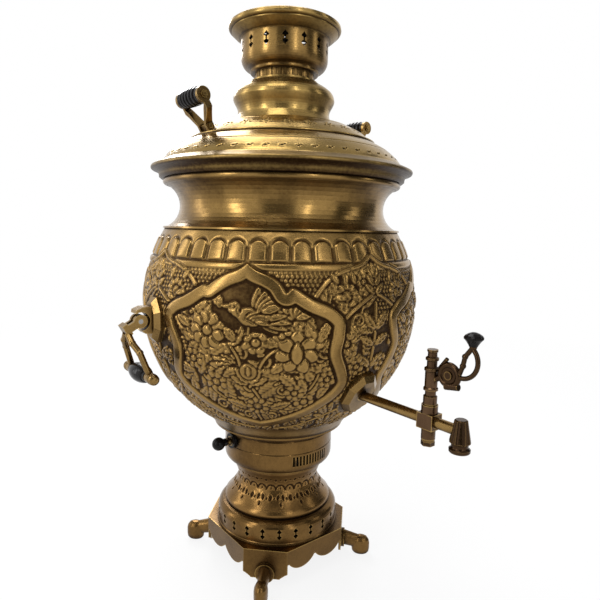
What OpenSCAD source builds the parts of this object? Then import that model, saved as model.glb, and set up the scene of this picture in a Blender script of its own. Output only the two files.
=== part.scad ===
// Gas samovar in brass sheet: pierced stand, burner housing, round tank with a
// chimney tube, loose lid, crown for a teapot, two bail handles and a plug tap.
// Millimetres, +Z up. The origin is on the turned axis at floor level; the tap
// points along -Y, the side handles lie on +X and -X, the feet on the diagonals.

/* [Sheet] */
// Thickness of the spun brass sheet
sheet = 1.3; // [1:0.1:1.6]
// Play between a seated part and the curved wall that it lies on
seat_gap = 0.15; // [0.05:0.05:0.3]
// Radial running clearance of pins, spindles and plugs
run_gap = 0.05; // [0.03:0.01:0.08]
// Radial play of loose parts that lift off by hand
lift_gap = 0.6; // [0.4:0.1:1]

/* [Stand] */
// Height of the foot plate's top above the floor
foot_h = 40; // [38:1:46]
// Distance from the axis to the foot plate's four long sides
plate_flat = 69; // [68:0.5:72]
// Distance from the axis to the foot plate's four cut corners
plate_corner = 75; // [73:0.5:80]
// Wall of the cast foot plate
plate_t = 2.6; // [2:0.2:3.2]
// Depth of the apron at the lobes of a long side
apron_lobe = 23.5; // [20:0.5:26]
// Depth of the apron at the middle of a long side
apron_cusp = 15; // [12:0.5:17]
// Depth of the apron at the cut corners
apron_corner = 31; // [29:0.5:34]
// Reach of a foot beyond its cut corner
foot_reach = 32; // [28:1:38]
// Width of a foot's toe
toe_w = 14; // [11:0.5:17]
// Radius of a foot's round boss
boss_r = 10; // [8:0.5:11]
// Radius of the screws that hold the feet
foot_screw_r = 2; // [1.5:0.25:2.5]

/* [Gallery and bell] */
// Height of the pierced gallery ring
ring_h = 24; // [22:1:30]
// Radius of the gallery ring
ring_r = 66.8; // [64:0.2:67.4]
// Number of piercings in the gallery ring
ring_cuts = 24; // [16:2:28]
// Height of the bell between gallery and burner housing
bell_h = 47; // [42:1:56]

/* [Burner housing] */
// Radius of the burner housing
housing_r = 59.5; // [58:0.5:64]
// Height of the burner housing
housing_h = 38; // [36:1:46]
// Number of vent slots under the tap
vent_count = 12; // [8:1:14]
// Width of a vent slot
vent_w = 2.1; // [1.6:0.1:2.4]
// Height of a vent slot
vent_h = 10.5; // [8:0.5:11]
// Radius of the tie rods
rod_r = 2; // [1.5:0.25:2.5]
// Distance from the axis to the tie rods
rod_ring_r = 36; // [34:0.5:38]
// Radius of the burner cap
burner_r = 26; // [22:0.5:28]
// Radius of the burner's mixing tube
mixer_r = 9; // [7:0.5:11]
// Radius of the gas pipes
gas_pipe_r = 2.5; // [2:0.25:3]
// Radius of the spigot that takes the gas hose
hose_r = 4; // [3.5:0.25:5]
// Length of the spigot that takes the gas hose
hose_len = 18; // [14:1:24]
// Depth of the gas knob's spindle below the housing's top
knob_drop = 8; // [7.5:0.5:12]
// Radius of the gas knob
knob_r = 6.8; // [5:0.2:8]
// Radius of the gas valve's spindle
spindle_r = 2.5; // [2:0.25:3]

/* [Tank] */
// Height of the ring between burner housing and tank
collar_h = 8; // [6:0.5:12]
// Radius of the tank's lower edge
tank_foot_r = 71; // [68:0.5:74]
// Height of the plain cone above the tank's lower edge
tank_cone_h = 13; // [10:0.5:16]
// Largest radius of the tank
bulb_r = 143; // [139:1:147]
// Height from the tank's lower edge to its widest place
bulb_drop = 129; // [124:1:132]
// Height from the widest place to the shoulder
bulb_rise = 77; // [72:1:82]
// Vertical half axis of the tank's lower half
bulb_low = 140; // [138:1:146]
// Vertical half axis of the tank's upper half
bulb_high = 148; // [144:1:154]
// Height of the neck above the shoulder
neck_h = 49.5; // [46:0.5:54]
// Radius of the neck's waist
neck_waist_r = 106.7; // [104:0.5:110]
// Radius of the rolled bead around the tank's mouth
bead_r = 123.3; // [121:0.5:125]
// Inner radius of the tank's mouth
mouth_r = 116.2; // [115:0.2:117]
// Radius of the chimney tube
flue_r = 26; // [24:0.5:27]
// Height of the heating cone at the tank's floor
cone_h = 19; // [16:1:26]

/* [Lid] */
// Radius of the lid's brim
brim_r = 135; // [132:0.5:140]
// Height of the lid's lower skirt up to the brim's top edge
brim_h = 12.5; // [11:0.5:15]
// Radius at the foot of the lid's lower slope
slope_r = 123; // [120:0.5:126]
// Radius of the lid's ridge
ridge_r = 96; // [93:0.5:99]
// Height of the lid's ridge above the tank's mouth
ridge_h = 38; // [35:0.5:41]
// Radius of the lid's flat top
top_r = 70; // [67:0.5:72]
// Height of the lid's flat top above the tank's mouth
top_h = 56; // [53:0.5:59]
// Length of the locating skirt inside the mouth
skirt_h = 4.5; // [3:0.5:5]
// Radius of the step under the lid's dome
step_r = 56; // [54:0.5:58]
// Radius of the dome's waist
dome_waist_r = 47.6; // [45:0.2:49]
// Radius of the dome's belly
dome_r = 52.4; // [50:0.2:54]
// Height of the dome above the lid's flat top
dome_h = 45; // [42:0.5:50]
// Radius of the dome's top
dome_top_r = 34.7; // [33:0.2:37]

/* [Lid handles] */
// Height of a lid handle's grip above the lid's ridge
lid_grip_up = 31; // [28:0.5:36]
// Distance from the axis to a lid handle's grip
lid_grip_x = 107; // [102:0.5:112]
// Distance between the arms of a lid handle at the grip
lid_grip_len = 34; // [30:1:42]
// Radius of a lid handle's grip
lid_grip_r = 8.3; // [7:0.2:10]
// Radius of the bolt through a lid handle's grip
lid_bolt_r = 2; // [1.5:0.25:2.5]

/* [Crown] */
// Height of the fluted collar under the crown
crown_neck_h = 8.5; // [7:0.5:12]
// Radius of the fluted collar under the crown
crown_neck_r = 30.5; // [30:0.2:33]
// Number of flutes around the collar
crown_flutes = 36; // [24:2:48]
// Radius of the crown's lip
crown_lip_r = 35.5; // [34.5:0.5:38]
// Radius of the crown's pierced band
crown_r = 44.6; // [42:0.2:47]
// Height of the crown's cup below the band
cup_h = 11; // [9:0.5:14]
// Height of the crown's pierced band
band_h = 17.5; // [17:0.5:24]
// Number of piercings in the crown
crown_cuts = 15; // [10:1:17]
// Radius of the holes in the crown's plate
crown_hole_r = 3.5; // [2.5:0.25:4.5]
// Radius of the crown's rim
crown_rim_r = 57.5; // [55:0.5:61]
// Height of the crown's flared rim
crown_rim_h = 14; // [12:0.5:18]

/* [Side handles] */
// Height of the side handles' pivots above the floor
handle_z = 279; // [272:1:286]
// Distance from the tank wall to a side handle's pivot
pivot_out = 17; // [16:0.5:19]
// Radius of the hinge pins
pin_r = 2.2; // [1.8:0.1:2.6]
// Drop from the pivot to the grip's centre
bail_drop = 48.5; // [44:0.5:54]
// Length between the bail's two eyes
bail_span = 36; // [34:1:46]
// Radius of the bail's arms
arm_r = 2.9; // [2.4:0.1:3.3]
// Radius of a side handle's grip
grip_r = 8.8; // [7.5:0.1:10]
// Radius of the rod through a side handle's grip
grip_rod_r = 2.4; // [2:0.1:3]
// Height of a handle's octagonal wall plate
handle_plate_h = 42; // [38:0.5:46]
// Width of a handle's octagonal wall plate
handle_plate_w = 28; // [24:0.5:32]

/* [Tap] */
// Height of the tap's pipe above the floor
pipe_z = 213.8; // [208:0.5:220]
// Radius of the tap's pipe
pipe_r = 4.5; // [4:0.1:5]
// Radius of the water way
water_r = 3.1; // [2.6:0.1:3.4]
// Distance from the axis to the tap's plug
plug_y = 205.5; // [200:0.5:214]
// Distance from the axis to the tap's spout
spout_y = 235.5; // [230:0.5:246]
// Length of the tap's square body along the pipe
block_len = 15.5; // [14:0.5:18]
// Height and width of the tap's square body
block_w = 12.8; // [12:0.2:15]
// Radius of the plug's turning shank
plug_r = 4.2; // [3.9:0.1:4.6]
// Height of the plug's turned tower
tower_h = 45; // [42:0.5:50]
// Radius of the tower's barrel
tower_r = 5.1; // [4.8:0.1:5.6]
// Width of the tap's octagonal wall plate
flange_w = 35; // [32:0.5:38]
// Height of the tap's octagonal wall plate
flange_h = 46; // [42:0.5:50]
// Thickness of the octagonal wall plates
flange_t = 6.5; // [5:0.5:8]
// Outer radius of the key's ring
key_r = 10.5; // [9:0.5:11.5]
// Reach of the key's knob beyond the plug
key_reach = 36; // [33:0.5:40]
// Radius of the key's knob
key_knob_r = 7.3; // [6:0.1:8.5]
// Radius of the spout's lower end
spout_r = 8.2; // [7.6:0.1:9]
// Number of flutes around the spout
spout_flutes = 10; // [8:1:12]

/* [Hidden] */
$fn = 64;

BRASS = "#b8924a";
DARK_BRASS = "#7a5f33";
BLACK = "#201d1c";
STEEL = "#9a9a96";
RUBBER = "#3a3432";

EPS = 0.01;
LEFT = 180;
RIGHT = 0;
FEET = [225, 315, 135, 45];

// Levels above the floor
ring_top = foot_h + ring_h;
bell_top = ring_top + bell_h;
floor_t = 1.5;
housing_top = bell_top + housing_h;
tank_z = housing_top + collar_h;
bulb_z = tank_z + bulb_drop;
shoulder_z = bulb_z + bulb_rise;
mouth_z = shoulder_z + neck_h;
ridge_z = mouth_z + ridge_h;
lid_top_z = mouth_z + top_h;
crown_z = lid_top_z + dome_h;
cup_z = crown_z + crown_neck_h;
band_z = cup_z + cup_h + 3.5;
rim_z = band_z + band_h;
top_z = rim_z + crown_rim_h;
knob_z = housing_top - knob_drop;
flue_top = cup_z - 1;

// The bell's waist, top and lip follow the housing that stands on it
bell_lip_r = housing_r - 0.5;
bell_top_r = housing_r - 8.5;
bell_waist_r = housing_r - 15;

// ---------- curves and outlines ----------
function curve_point(a, b, c, d, t) = 0.5 * (2 * b + (c - a) * t
    + (2 * a - 5 * b + 4 * c - d) * t * t + (3 * b - a - 3 * c + d) * t * t * t);
// A smooth curve through a few points
function smooth(p, n = 4) = concat([for (i = [0 : len(p) - 2]) for (j = [0 : n - 1])
    curve_point(p[max(i - 1, 0)], p[i], p[i + 1], p[min(i + 2, len(p) - 1)], j / n)],
    [p[len(p) - 1]]);
// A flare from one radius to another, steep at its start for k over 1
function flare(r0, z0, r1, z1, k, n = 6) = [for (i = [0 : n]) let (t = i / n)
    [r1 + (r0 - r1) * pow(1 - t, k), z0 + (z1 - z0) * t]];
function arc(x, z, r, a0, a1, n = 8) = [for (i = [0 : n]) let (a = a0 + (a1 - a0) * i / n)
    [x + r * cos(a), z + r * sin(a)]];
function unit(v) = v / norm(v);
// Unit normal to the left of the path at point i
function side_normal(p, i) = let (t = unit(p[min(i + 1, len(p) - 1)] - p[max(i - 1, 0)]))
    [-t[1], t[0]];
// Closed outline of a sheet of thickness w to the left of a path
function sheet_outline(p, w) = concat(p,
    [for (i = [len(p) - 1 : -1 : 0]) p[i] + w * side_normal(p, i)]);

module spun(path, w = sheet) {
    rotate_extrude($fn = 96) polygon(sheet_outline(path, w));
}
module turned(outline) {
    rotate_extrude($fn = 64) polygon(outline);
}
module ring(r_in, r_out, z, h) {
    translate([0, 0, z]) rotate_extrude($fn = 96) translate([r_in, 0]) square([r_out - r_in, h]);
}
// A round bar between two points
module bar(a, b, r) {
    d = b - a;
    translate(a) rotate([0, acos(d[2] / norm(d)), atan2(d[1], d[0])])
        cylinder(h = norm(d), r = r, $fn = 32);
}
module ball(p, r) {
    translate(p) sphere(r = r, $fn = 32);
}
// Cylinder along +X, starting at p
module x_cyl(p, r, h, fn = 48) {
    translate(p) rotate([0, 90, 0]) cylinder(h = h, r = r, $fn = fn);
}
// Cylinder along +Y, starting at p
module y_cyl(p, r, h, fn = 48) {
    translate(p) rotate([-90, 0, 0]) cylinder(h = h, r = r, $fn = fn);
}

// ---------- tank outline ----------
cone_top_z = tank_z + tank_cone_h;
function bulb_at(z) = z < cone_top_z
    ? tank_foot_r + (ellipse_at(cone_top_z) - tank_foot_r) * (z - tank_z) / tank_cone_h
    : ellipse_at(z);
function ellipse_at(z) = let (b = z < bulb_z ? bulb_low : bulb_high)
    bulb_r * sqrt(1 - pow((z - bulb_z) / b, 2));
// Angle by which the tank wall's outward normal dips below the horizontal
function wall_dip(z) = let (b = z < bulb_z ? bulb_low : bulb_high)
    atan2((bulb_z - z) / (b * b), ellipse_at(z) / (bulb_r * bulb_r));
low_angle = asin((cone_top_z - bulb_z) / bulb_low);
high_angle = asin(bulb_rise / bulb_high);
bulb_path = concat([[tank_foot_r, tank_z]],
    [for (i = [0 : 14]) let (a = low_angle * (1 - i / 14))
        [bulb_r * cos(a), bulb_z + bulb_low * sin(a)]],
    [for (i = [1 : 8]) let (a = high_angle * i / 8)
        [bulb_r * cos(a), bulb_z + bulb_high * sin(a)]]);
shoulder_r = ellipse_at(shoulder_z);

// Solid of revolution that fills the tank out to a gap beyond its wall
module bulb_solid(gap) {
    rotate_extrude($fn = 96) polygon(concat([[0, tank_z]],
        [for (p = bulb_path) [p[0] + gap, p[1]]], [[0, shoulder_z]]));
}

// ---------- stand ----------
corner_half = plate_flat * sqrt(2) - plate_corner;
side_half = plate_corner * sqrt(2) - plate_flat;

module plate_outline(inset) {
    intersection() {
        square(2 * (plate_flat - inset), center = true);
        rotate(45) square(2 * (plate_corner - inset), center = true);
    }
}
// Space under the scalloped edge of one long side, seen from outside
module scallop() {
    lobe_x = side_half * 0.47;
    lobe_w = side_half * 0.56;
    difference() {
        translate([-side_half + 1, 0]) square([2 * (side_half - 1), foot_h - apron_cusp]);
        for (s = [-1, 1]) translate([s * lobe_x, foot_h - apron_lobe + lobe_w])
            circle(r = lobe_w, $fn = 48);
    }
}
// Space at both lower corners of one cut corner's apron
module corner_cut() {
    low_z = foot_h - apron_corner;
    for (s = [-1, 1]) polygon([[s * corner_half * 0.62, low_z - 1], [s * corner_half * 0.72, low_z + 1.5],
        [s * corner_half * 0.93, low_z + 5], [s * (corner_half + 2), low_z + 6.5],
        [s * (corner_half + 2), low_z - 1]]);
}
rod_hole_r = rod_r + 0.3;
module rod_places() {
    for (a = [30, 150, 270]) rotate([0, 0, a]) translate([rod_ring_r, 0, 0]) children();
}
boss_z = foot_h - apron_corner + 7;

module foot_plate() {
    color(BRASS) difference() {
        translate([0, 0, foot_h - apron_corner]) linear_extrude(apron_corner) plate_outline(0);
        translate([0, 0, -EPS]) linear_extrude(foot_h - plate_t + EPS) plate_outline(plate_t);
        for (a = [0 : 90 : 270]) rotate([0, 0, a]) {
            translate([0, -plate_flat + plate_t + 1, 0])
                rotate([90, 0, 0]) linear_extrude(plate_t + 2) scallop();
            rotate([0, 0, 45]) translate([0, -plate_corner + plate_t + 1, 0])
                rotate([90, 0, 0]) linear_extrude(plate_t + 2) corner_cut();
        }
        rod_places() cylinder(r = rod_hole_r, h = foot_h + 1);
        cylinder(r = rod_ring_r - 8, h = foot_h + 1);
        for (a = FEET) rotate([0, 0, a])
            x_cyl([plate_corner - plate_t - 1, 0, boss_z], foot_screw_r + 0.2, plate_t + 2);
    }
}

module foot(a) {
    toe_r = 10;
    toe_x = plate_corner + foot_reach - toe_r;
    color(BRASS) rotate([0, 0, a]) difference() {
        union() {
            x_cyl([plate_corner, 0, boss_z], boss_r, 3.5);
            hull() {
                translate([plate_corner + 4.4, 0, boss_z]) scale([0.5, 0.74, 1])
                    sphere(r = boss_r - 1.5, $fn = 28);
                translate([toe_x - 4, 0, boss_z - 3]) scale([0.6, 0.6, 0.9])
                    sphere(r = boss_r - 1.5, $fn = 28);
            }
            scale([1, toe_w / 2 / toe_r, 1]) translate([toe_x, 0, 0])
                turned([[0, -0.5], [toe_r - 2.6, -0.5], [toe_r - 0.6, 2], [toe_r, 5.5], [toe_r, 12],
                    [toe_r - 0.8, 15.5], [toe_r - 3, 18.6], [toe_r - 6, 20], [0, 20.4]]);
        }
        translate([0, -toe_r * 2, -toe_r * 2])
            cube([plate_corner + foot_reach + 10, toe_r * 4, toe_r * 2]);
        x_cyl([plate_corner - 1, 0, boss_z], foot_screw_r + 0.05, 11);
    }
}

module foot_screws() {
    color(STEEL) for (a = FEET) rotate([0, 0, a]) {
        x_cyl([plate_corner - plate_t - 2.6, 0, boss_z], foot_screw_r * 2, 2.6);
        x_cyl([plate_corner - plate_t - 0.5, 0, boss_z], foot_screw_r, 10);
    }
}

// A pair of spades joined by a bar, standing on y = 0
module double_spade(h, w) {
    half = [[0, 0.5], [0.17, 0.4], [0.42, 0.29], [0.5, 0.22], [0.44, 0.16], [0.26, 0.13], [0.14, 0.1]];
    translate([0, h / 2]) polygon(concat(
        [for (p = half) [p[0] * w, p[1] * h]],
        [for (i = [len(half) - 1 : -1 : 0]) [half[i][0] * w, -half[i][1] * h]],
        [for (i = [1 : len(half) - 1]) [-half[i][0] * w, -half[i][1] * h]],
        [for (i = [len(half) - 1 : -1 : 1]) [-half[i][0] * w, half[i][1] * h]]));
}
module piercings(count, r, z, h, w, turn) {
    for (i = [0 : count - 1]) rotate([0, 0, turn + 360 * i / count]) translate([0, -r + 3, z])
        rotate([90, 0, 0]) linear_extrude(6) double_spade(h, w);
}
ring_cut_h = ring_h * 0.5;
ring_cut_z = foot_h + 6;

module gallery_ring() {
    bend = 9;
    path = concat([[ring_r + 0.7, foot_h], [ring_r + 0.7, foot_h + 1.6], [ring_r, foot_h + 2.4],
        [ring_r, ring_top - bend]],
        [for (i = [1 : 6]) let (a = 90 * i / 6)
            [bell_lip_r - 2 + (ring_r - bell_lip_r + 2) * cos(a), ring_top - bend + bend * sin(a)]],
        [[bell_waist_r + 6, ring_top]]);
    color(BRASS) difference() {
        spun(path);
        piercings(ring_cuts, ring_r, ring_cut_z, ring_cut_h, 5, -4);
    }
}

module bell_skirt() {
    waist_z = ring_top + bell_h * 0.6;
    path = concat([[bell_lip_r - 1.5, ring_top], [bell_lip_r, ring_top + 1.5], [bell_lip_r, ring_top + 4.5]],
        flare(bell_lip_r, ring_top + 5, bell_waist_r, waist_z, 1.6, 8),
        [for (i = [1 : 6]) let (t = i / 6)
            [bell_waist_r + (bell_top_r - bell_waist_r) * pow(t, 1.7),
             waist_z + (bell_top - waist_z - sheet) * t]],
        [[bell_top_r, bell_top - EPS]]);
    color(BRASS) {
        spun(path);
        ring(bell_waist_r - 3, bell_top_r, bell_top - sheet, sheet);
    }
}

rod_low = foot_h - plate_t - 4;
rod_high = housing_top + 2 * sheet + 4;
module tie_rods() {
    color(STEEL) rod_places() translate([0, 0, rod_low]) cylinder(r = rod_r, h = rod_high - rod_low);
}
module hex_nut(r_in, h, k = 1.95) {
    difference() {
        cylinder(r = r_in * k, h = h, $fn = 6);
        translate([0, 0, -1]) cylinder(r = r_in, h = h + 2, $fn = 48);
    }
}
module tie_nuts() {
    color(STEEL) rod_places() {
        translate([0, 0, foot_h - plate_t - 3]) hex_nut(rod_r, 3);
        translate([0, 0, bell_top + floor_t]) hex_nut(rod_r, 3);
        translate([0, 0, housing_top + sheet]) hex_nut(rod_r, 3);
    }
}

// ---------- burner housing ----------
vent_z = bell_top + 10.5;
vent_span = 44;
knob_hole_r = 5;
hose_z = housing_top - 12;
module burner_housing() {
    lower_r = bell_top_r + 1.5;
    low_z = bell_top + floor_t;
    round_h = 9;
    path = concat([[rod_ring_r + 6, low_z], [lower_r - 1.5, low_z]],
        [for (i = [0 : 7]) let (a = -80 + 80 * i / 7)
            [lower_r - 1 + (housing_r - lower_r + 1) * cos(a), low_z + round_h + round_h * sin(a)]],
        [[housing_r, vent_z + vent_h + 1.8], [housing_r - 0.4, vent_z + vent_h + 2.4],
         [housing_r, vent_z + vent_h + 3], [housing_r, housing_top - 1.5],
         [housing_r - 0.8, housing_top]]);
    color(BRASS) difference() {
        union() {
            spun(path);
            ring(burner_r + 5, housing_r - 0.8, housing_top - sheet, sheet);
        }
        rod_places() cylinder(r = rod_hole_r, h = housing_top + 1);
        for (i = [0 : vent_count - 1])
            rotate([0, 0, vent_span * ((i + 0.5) / vent_count - 0.5)])
                translate([-vent_w / 2, -housing_r - 2, vent_z]) cube([vent_w, 6, vent_h]);
        x_cyl([-housing_r - 2, 0, knob_z], knob_hole_r + 0.1, 6);
        y_cyl([0, housing_r - 4, hose_z], hose_r + 1.3, 7);
    }
}

mixer_hole_r = mixer_r + 0.3;
module housing_floor() {
    color(BRASS) translate([0, 0, bell_top]) difference() {
        cylinder(r = bell_top_r + 0.6, h = floor_t, $fn = 96);
        translate([0, 0, -1]) {
            cylinder(r = mixer_hole_r, h = floor_t + 2);
            for (a = [60 : 60 : 300]) rotate([0, 0, a + 30]) translate([22, 0, 0])
                cylinder(r = 5, h = floor_t + 2);
            rod_places() cylinder(r = rod_hole_r, h = floor_t + 2);
            translate([-valve_x, 0, 0]) cylinder(r = gas_pipe_r + 0.4, h = floor_t + 2);
        }
    }
}

burner_z = bell_top + 14;
mixer_low = bell_top - 13;
module burner_body() {
    bowl = [[mixer_r, bell_top + floor_t], [mixer_r + 4, bell_top + floor_t],
        [mixer_r + 4, bell_top + floor_t + 2], [mixer_r + 1, bell_top + floor_t + 3],
        [mixer_r + 1, burner_z - 5], [burner_r - 2, burner_z], [burner_r - 2, burner_z + 6],
        [burner_r - 4, burner_z + 6], [burner_r - 4, burner_z + 1.5], [mixer_r - 1.5, burner_z - 3],
        [mixer_r - 1.5, mixer_low], [mixer_r, mixer_low]];
    color(STEEL) turned(bowl);
}
module burner_cap() {
    port_z = burner_z + 6;
    color(STEEL) difference() {
        turned([[0, port_z + 2.5], [burner_r - 5.6, port_z + 2.5], [burner_r - 5.6, port_z - 3],
            [burner_r - 4.1, port_z - 3], [burner_r - 4.1, port_z], [burner_r, port_z],
            [burner_r, port_z + 4], [burner_r * 0.5, port_z + 6], [0, port_z + 7]]);
        for (a = [0 : 20 : 340]) rotate([0, 0, a]) translate([burner_r * 0.7, 0, port_z])
            cylinder(r = 1.3, h = 9, $fn = 24);
    }
}

valve_x = housing_r - 22;
injector_z = mixer_low - 10;
injector_h = 8;
module gas_injector() {
    color(BRASS) difference() {
        union() {
            translate([0, 0, injector_z]) cylinder(r = 4.5, h = 4, $fn = 6);
            translate([0, 0, injector_z + 4 - EPS]) cylinder(r1 = 3.2, r2 = 1.6, h = injector_h - 4);
        }
        translate([0, 0, injector_z - 1]) cylinder(r = 1.2, h = injector_h - 0.5, $fn = 24);
        translate([0, 0, injector_z]) cylinder(r = 0.5, h = injector_h + 1, $fn = 24);
    }
}
module injector_pipe() {
    top = [-valve_x, 0, knob_z - 6];
    low = [-valve_x, 0, injector_z - 4];
    end = [0, 0, injector_z - 4];
    color(BRASS) {
        bar(top, low, gas_pipe_r);
        ball(low, gas_pipe_r + 0.3);
        bar(low, end, gas_pipe_r);
        ball(end, gas_pipe_r + 0.3);
        bar(end, [0, 0, injector_z], gas_pipe_r);
    }
}
inlet_arc_r = housing_r - 12;
module inlet_pipe() {
    color(BRASS) rotate([0, 0, inlet_from]) rotate_extrude(angle = inlet_to - inlet_from, $fn = 96)
        translate([inlet_arc_r, hose_z]) circle(r = gas_pipe_r, $fn = 24);
}
// Ends of the inlet pipe's arc, in degrees about the axis
inlet_from = 95;
inlet_to = 167;
valve_end_x = -inlet_arc_r * cos(180 - inlet_to);
valve_end_y = inlet_arc_r * sin(180 - inlet_to);
module gas_valve() {
    color(BRASS) difference() {
        union() {
            x_cyl([-housing_r + sheet + 0.4, 0, knob_z], 6.5, 24);
            x_cyl([-housing_r - 3.4, 0, knob_z], knob_hole_r, 6);
            translate([-valve_x, 0, knob_z - 7]) cylinder(r = 4.5, h = 7);
            y_cyl([valve_end_x, 0, hose_z], 4, valve_end_y + 1.5);
        }
        x_cyl([-housing_r - 5, 0, knob_z], spindle_r + run_gap, 25);
        translate([-valve_x, 0, knob_z - 7.5]) cylinder(r = gas_pipe_r, h = 2);
        rotate([0, 0, inlet_to - 8]) rotate_extrude(angle = 8, $fn = 96)
            translate([inlet_arc_r, hose_z]) circle(r = gas_pipe_r, $fn = 24);
    }
}
bush_x = housing_r + seat_gap;
module knob_bush() {
    color(BLACK) difference() {
        x_cyl([-bush_x - 3.2, 0, knob_z], 8, 3.2);
        x_cyl([-bush_x - 4, 0, knob_z], knob_hole_r, 6);
    }
}
knob_x = housing_r + 17.5;
module valve_spindle() {
    color(BRASS) {
        x_cyl([-knob_x + 2, 0, knob_z], spindle_r, knob_x - housing_r + 17.5);
        x_cyl([-bush_x - 7.5, 0, knob_z], spindle_r + 1.7, 2.6);
    }
}
module gas_knob() {
    color(BLACK) difference() {
        union() {
            translate([-knob_x, 0, knob_z]) sphere(r = knob_r, $fn = 64);
            x_cyl([-knob_x, 0, knob_z], 4, knob_r + 1.5);
        }
        x_cyl([-knob_x + 2, 0, knob_z], spindle_r, 12);
    }
}
module hose_nozzle() {
    wall_y = housing_r + seat_gap;
    color(BRASS) difference() {
        union() {
            y_cyl([0, wall_y, hose_z], 8, 5, 6);
            y_cyl([0, wall_y, hose_z], hose_r, 5 + hose_len);
            y_cyl([0, inlet_arc_r - 4.5, hose_z], hose_r + 1, wall_y - inlet_arc_r + 5);
        }
        y_cyl([0, inlet_arc_r + 1, hose_z], hose_r - 1.5, 40);
        rotate([0, 0, inlet_from]) rotate_extrude(angle = 12, $fn = 96)
            translate([inlet_arc_r, hose_z]) circle(r = gas_pipe_r, $fn = 24);
    }
}
module nozzle_nut() {
    color(BRASS) translate([0, housing_r - sheet - 0.7, hose_z]) rotate([90, 0, 0])
        hex_nut(hose_r + 1, 3, 1.6);
}

// ---------- tank ----------
module tank_collar() {
    outline = [[burner_r + 5, housing_top], [housing_r, housing_top],
        [tank_foot_r, tank_z - 1.5], [tank_foot_r, tank_z], [tank_foot_r - sheet, tank_z],
        [tank_foot_r - sheet, tank_z - 1], [housing_r - 0.6, housing_top + sheet],
        [burner_r + 5, housing_top + sheet]];
    color(BRASS) difference() {
        turned(outline);
        rod_places() cylinder(r = rod_hole_r, h = tank_z);
    }
}
tap_hole_r = pipe_r + 0.3;
bracket_screw_z = handle_plate_h * 0.3;
module tank_bulb() {
    color(BRASS) difference() {
        spun(bulb_path);
        y_cyl([0, -bulb_r, pipe_z], tap_hole_r, 40);
        for (s = [LEFT, RIGHT]) rotate([0, 0, s]) for (dz = [-1, 1])
            x_cyl([bulb_r - 20, 0, handle_z + dz * bracket_screw_z], 2.2, 25);
    }
}
cone_low_z = tank_z + 3;
cone_low_r = bulb_at(cone_low_z) - sheet * 1.25;
module tank_bottom() {
    path = concat([[bulb_at(cone_low_z - 2) - sheet * 1.25, cone_low_z - 2], [cone_low_r, cone_low_z]],
        [for (i = [1 : 8]) let (t = i / 8)
            [cone_low_r + (flue_r + 2 - cone_low_r) * t, cone_low_z + cone_h * pow(t, 1.6)]],
        [[flue_r + 0.02, cone_low_z + cone_h + 6]]);
    color(BRASS) turned(concat(path, [[flue_r + 0.02, cone_low_z + cone_h - 1]],
        [for (i = [7 : -1 : 0]) let (t = i / 8)
            [cone_low_r - 3.2 + (flue_r + 3.7 - cone_low_r) * t,
             cone_low_z - 2 + cone_h * pow(t, 1.6)]]));
}
flue_low = cone_low_z + cone_h - 1;
module flue_tube() {
    color(BRASS) ring(flue_r - sheet, flue_r, flue_low, flue_top - flue_low);
}
neck_edge_r = 119;
cove_h = neck_h - 8.5;
cove_depth = neck_edge_r - neck_waist_r;
cove_r = (cove_h * cove_h / 4 + cove_depth * cove_depth) / (2 * cove_depth);
cove_z = shoulder_z + 2.5 + cove_h / 2;
cove_half = asin(cove_h / 2 / cove_r);
module tank_neck() {
    path = concat([[shoulder_r, shoulder_z], [shoulder_r + 1.8, shoulder_z + 0.3],
        [shoulder_r + 1.4, shoulder_z + 1.9]],
        [for (p = arc(neck_waist_r + cove_r, cove_z, cove_r, 180 + cove_half, 180 - cove_half, 12)) p],
        [[bead_r - 2.2, mouth_z - 6]]);
    bead = concat([[mouth_r, mouth_z - 4], [bead_r - 4, mouth_z - 6.5]],
        arc(bead_r - 3, mouth_z - 3, 3, -80, 80, 8), [[mouth_r, mouth_z]]);
    color(BRASS) {
        spun(path);
        turned(bead);
    }
}

// ---------- lid ----------
flat_in_r = dome_waist_r - 4;
lid_low_path = smooth([[slope_r, mouth_z + brim_h + 4.5], [slope_r - 4, mouth_z + brim_h + 10],
    [(slope_r + ridge_r) / 2, mouth_z + ridge_h - 7], [ridge_r + 1, mouth_z + ridge_h]], 4);
lid_top_path = concat([[ridge_r - 0.8, ridge_z + 2.2], [ridge_r - 3.2, ridge_z + 2.6]],
    smooth([[ridge_r - 5, ridge_z + 3.6], [(ridge_r + top_r) / 2, ridge_z + 3 + (top_h - ridge_h) * 0.42],
        [top_r + 1.5, lid_top_z - 1.5]], 3),
    [[top_r - 1.5, lid_top_z]]);
module lid_shell() {
    skirt_r = mouth_r - lift_gap;
    path = concat([[bead_r + 1.5, mouth_z + 0.2], [bead_r + 3.6, mouth_z + 1.2],
        [bead_r + 3.8, mouth_z + brim_h - 9], [bead_r + 5, mouth_z + brim_h - 6.2]],
        arc(brim_r - 2.2, mouth_z + brim_h - 2.2, 2.2, -80, 75, 6),
        [[slope_r + 3, mouth_z + brim_h + 3.2]],
        lid_low_path, lid_top_path, [[flat_in_r, lid_top_z]]);
    color(BRASS) {
        spun(path);
        ring(skirt_r - sheet, bead_r + 2.2, mouth_z, sheet);
        ring(skirt_r - sheet, skirt_r, mouth_z - skirt_h, skirt_h + sheet);
    }
}
dome_in_r = flue_r + lift_gap;
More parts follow.
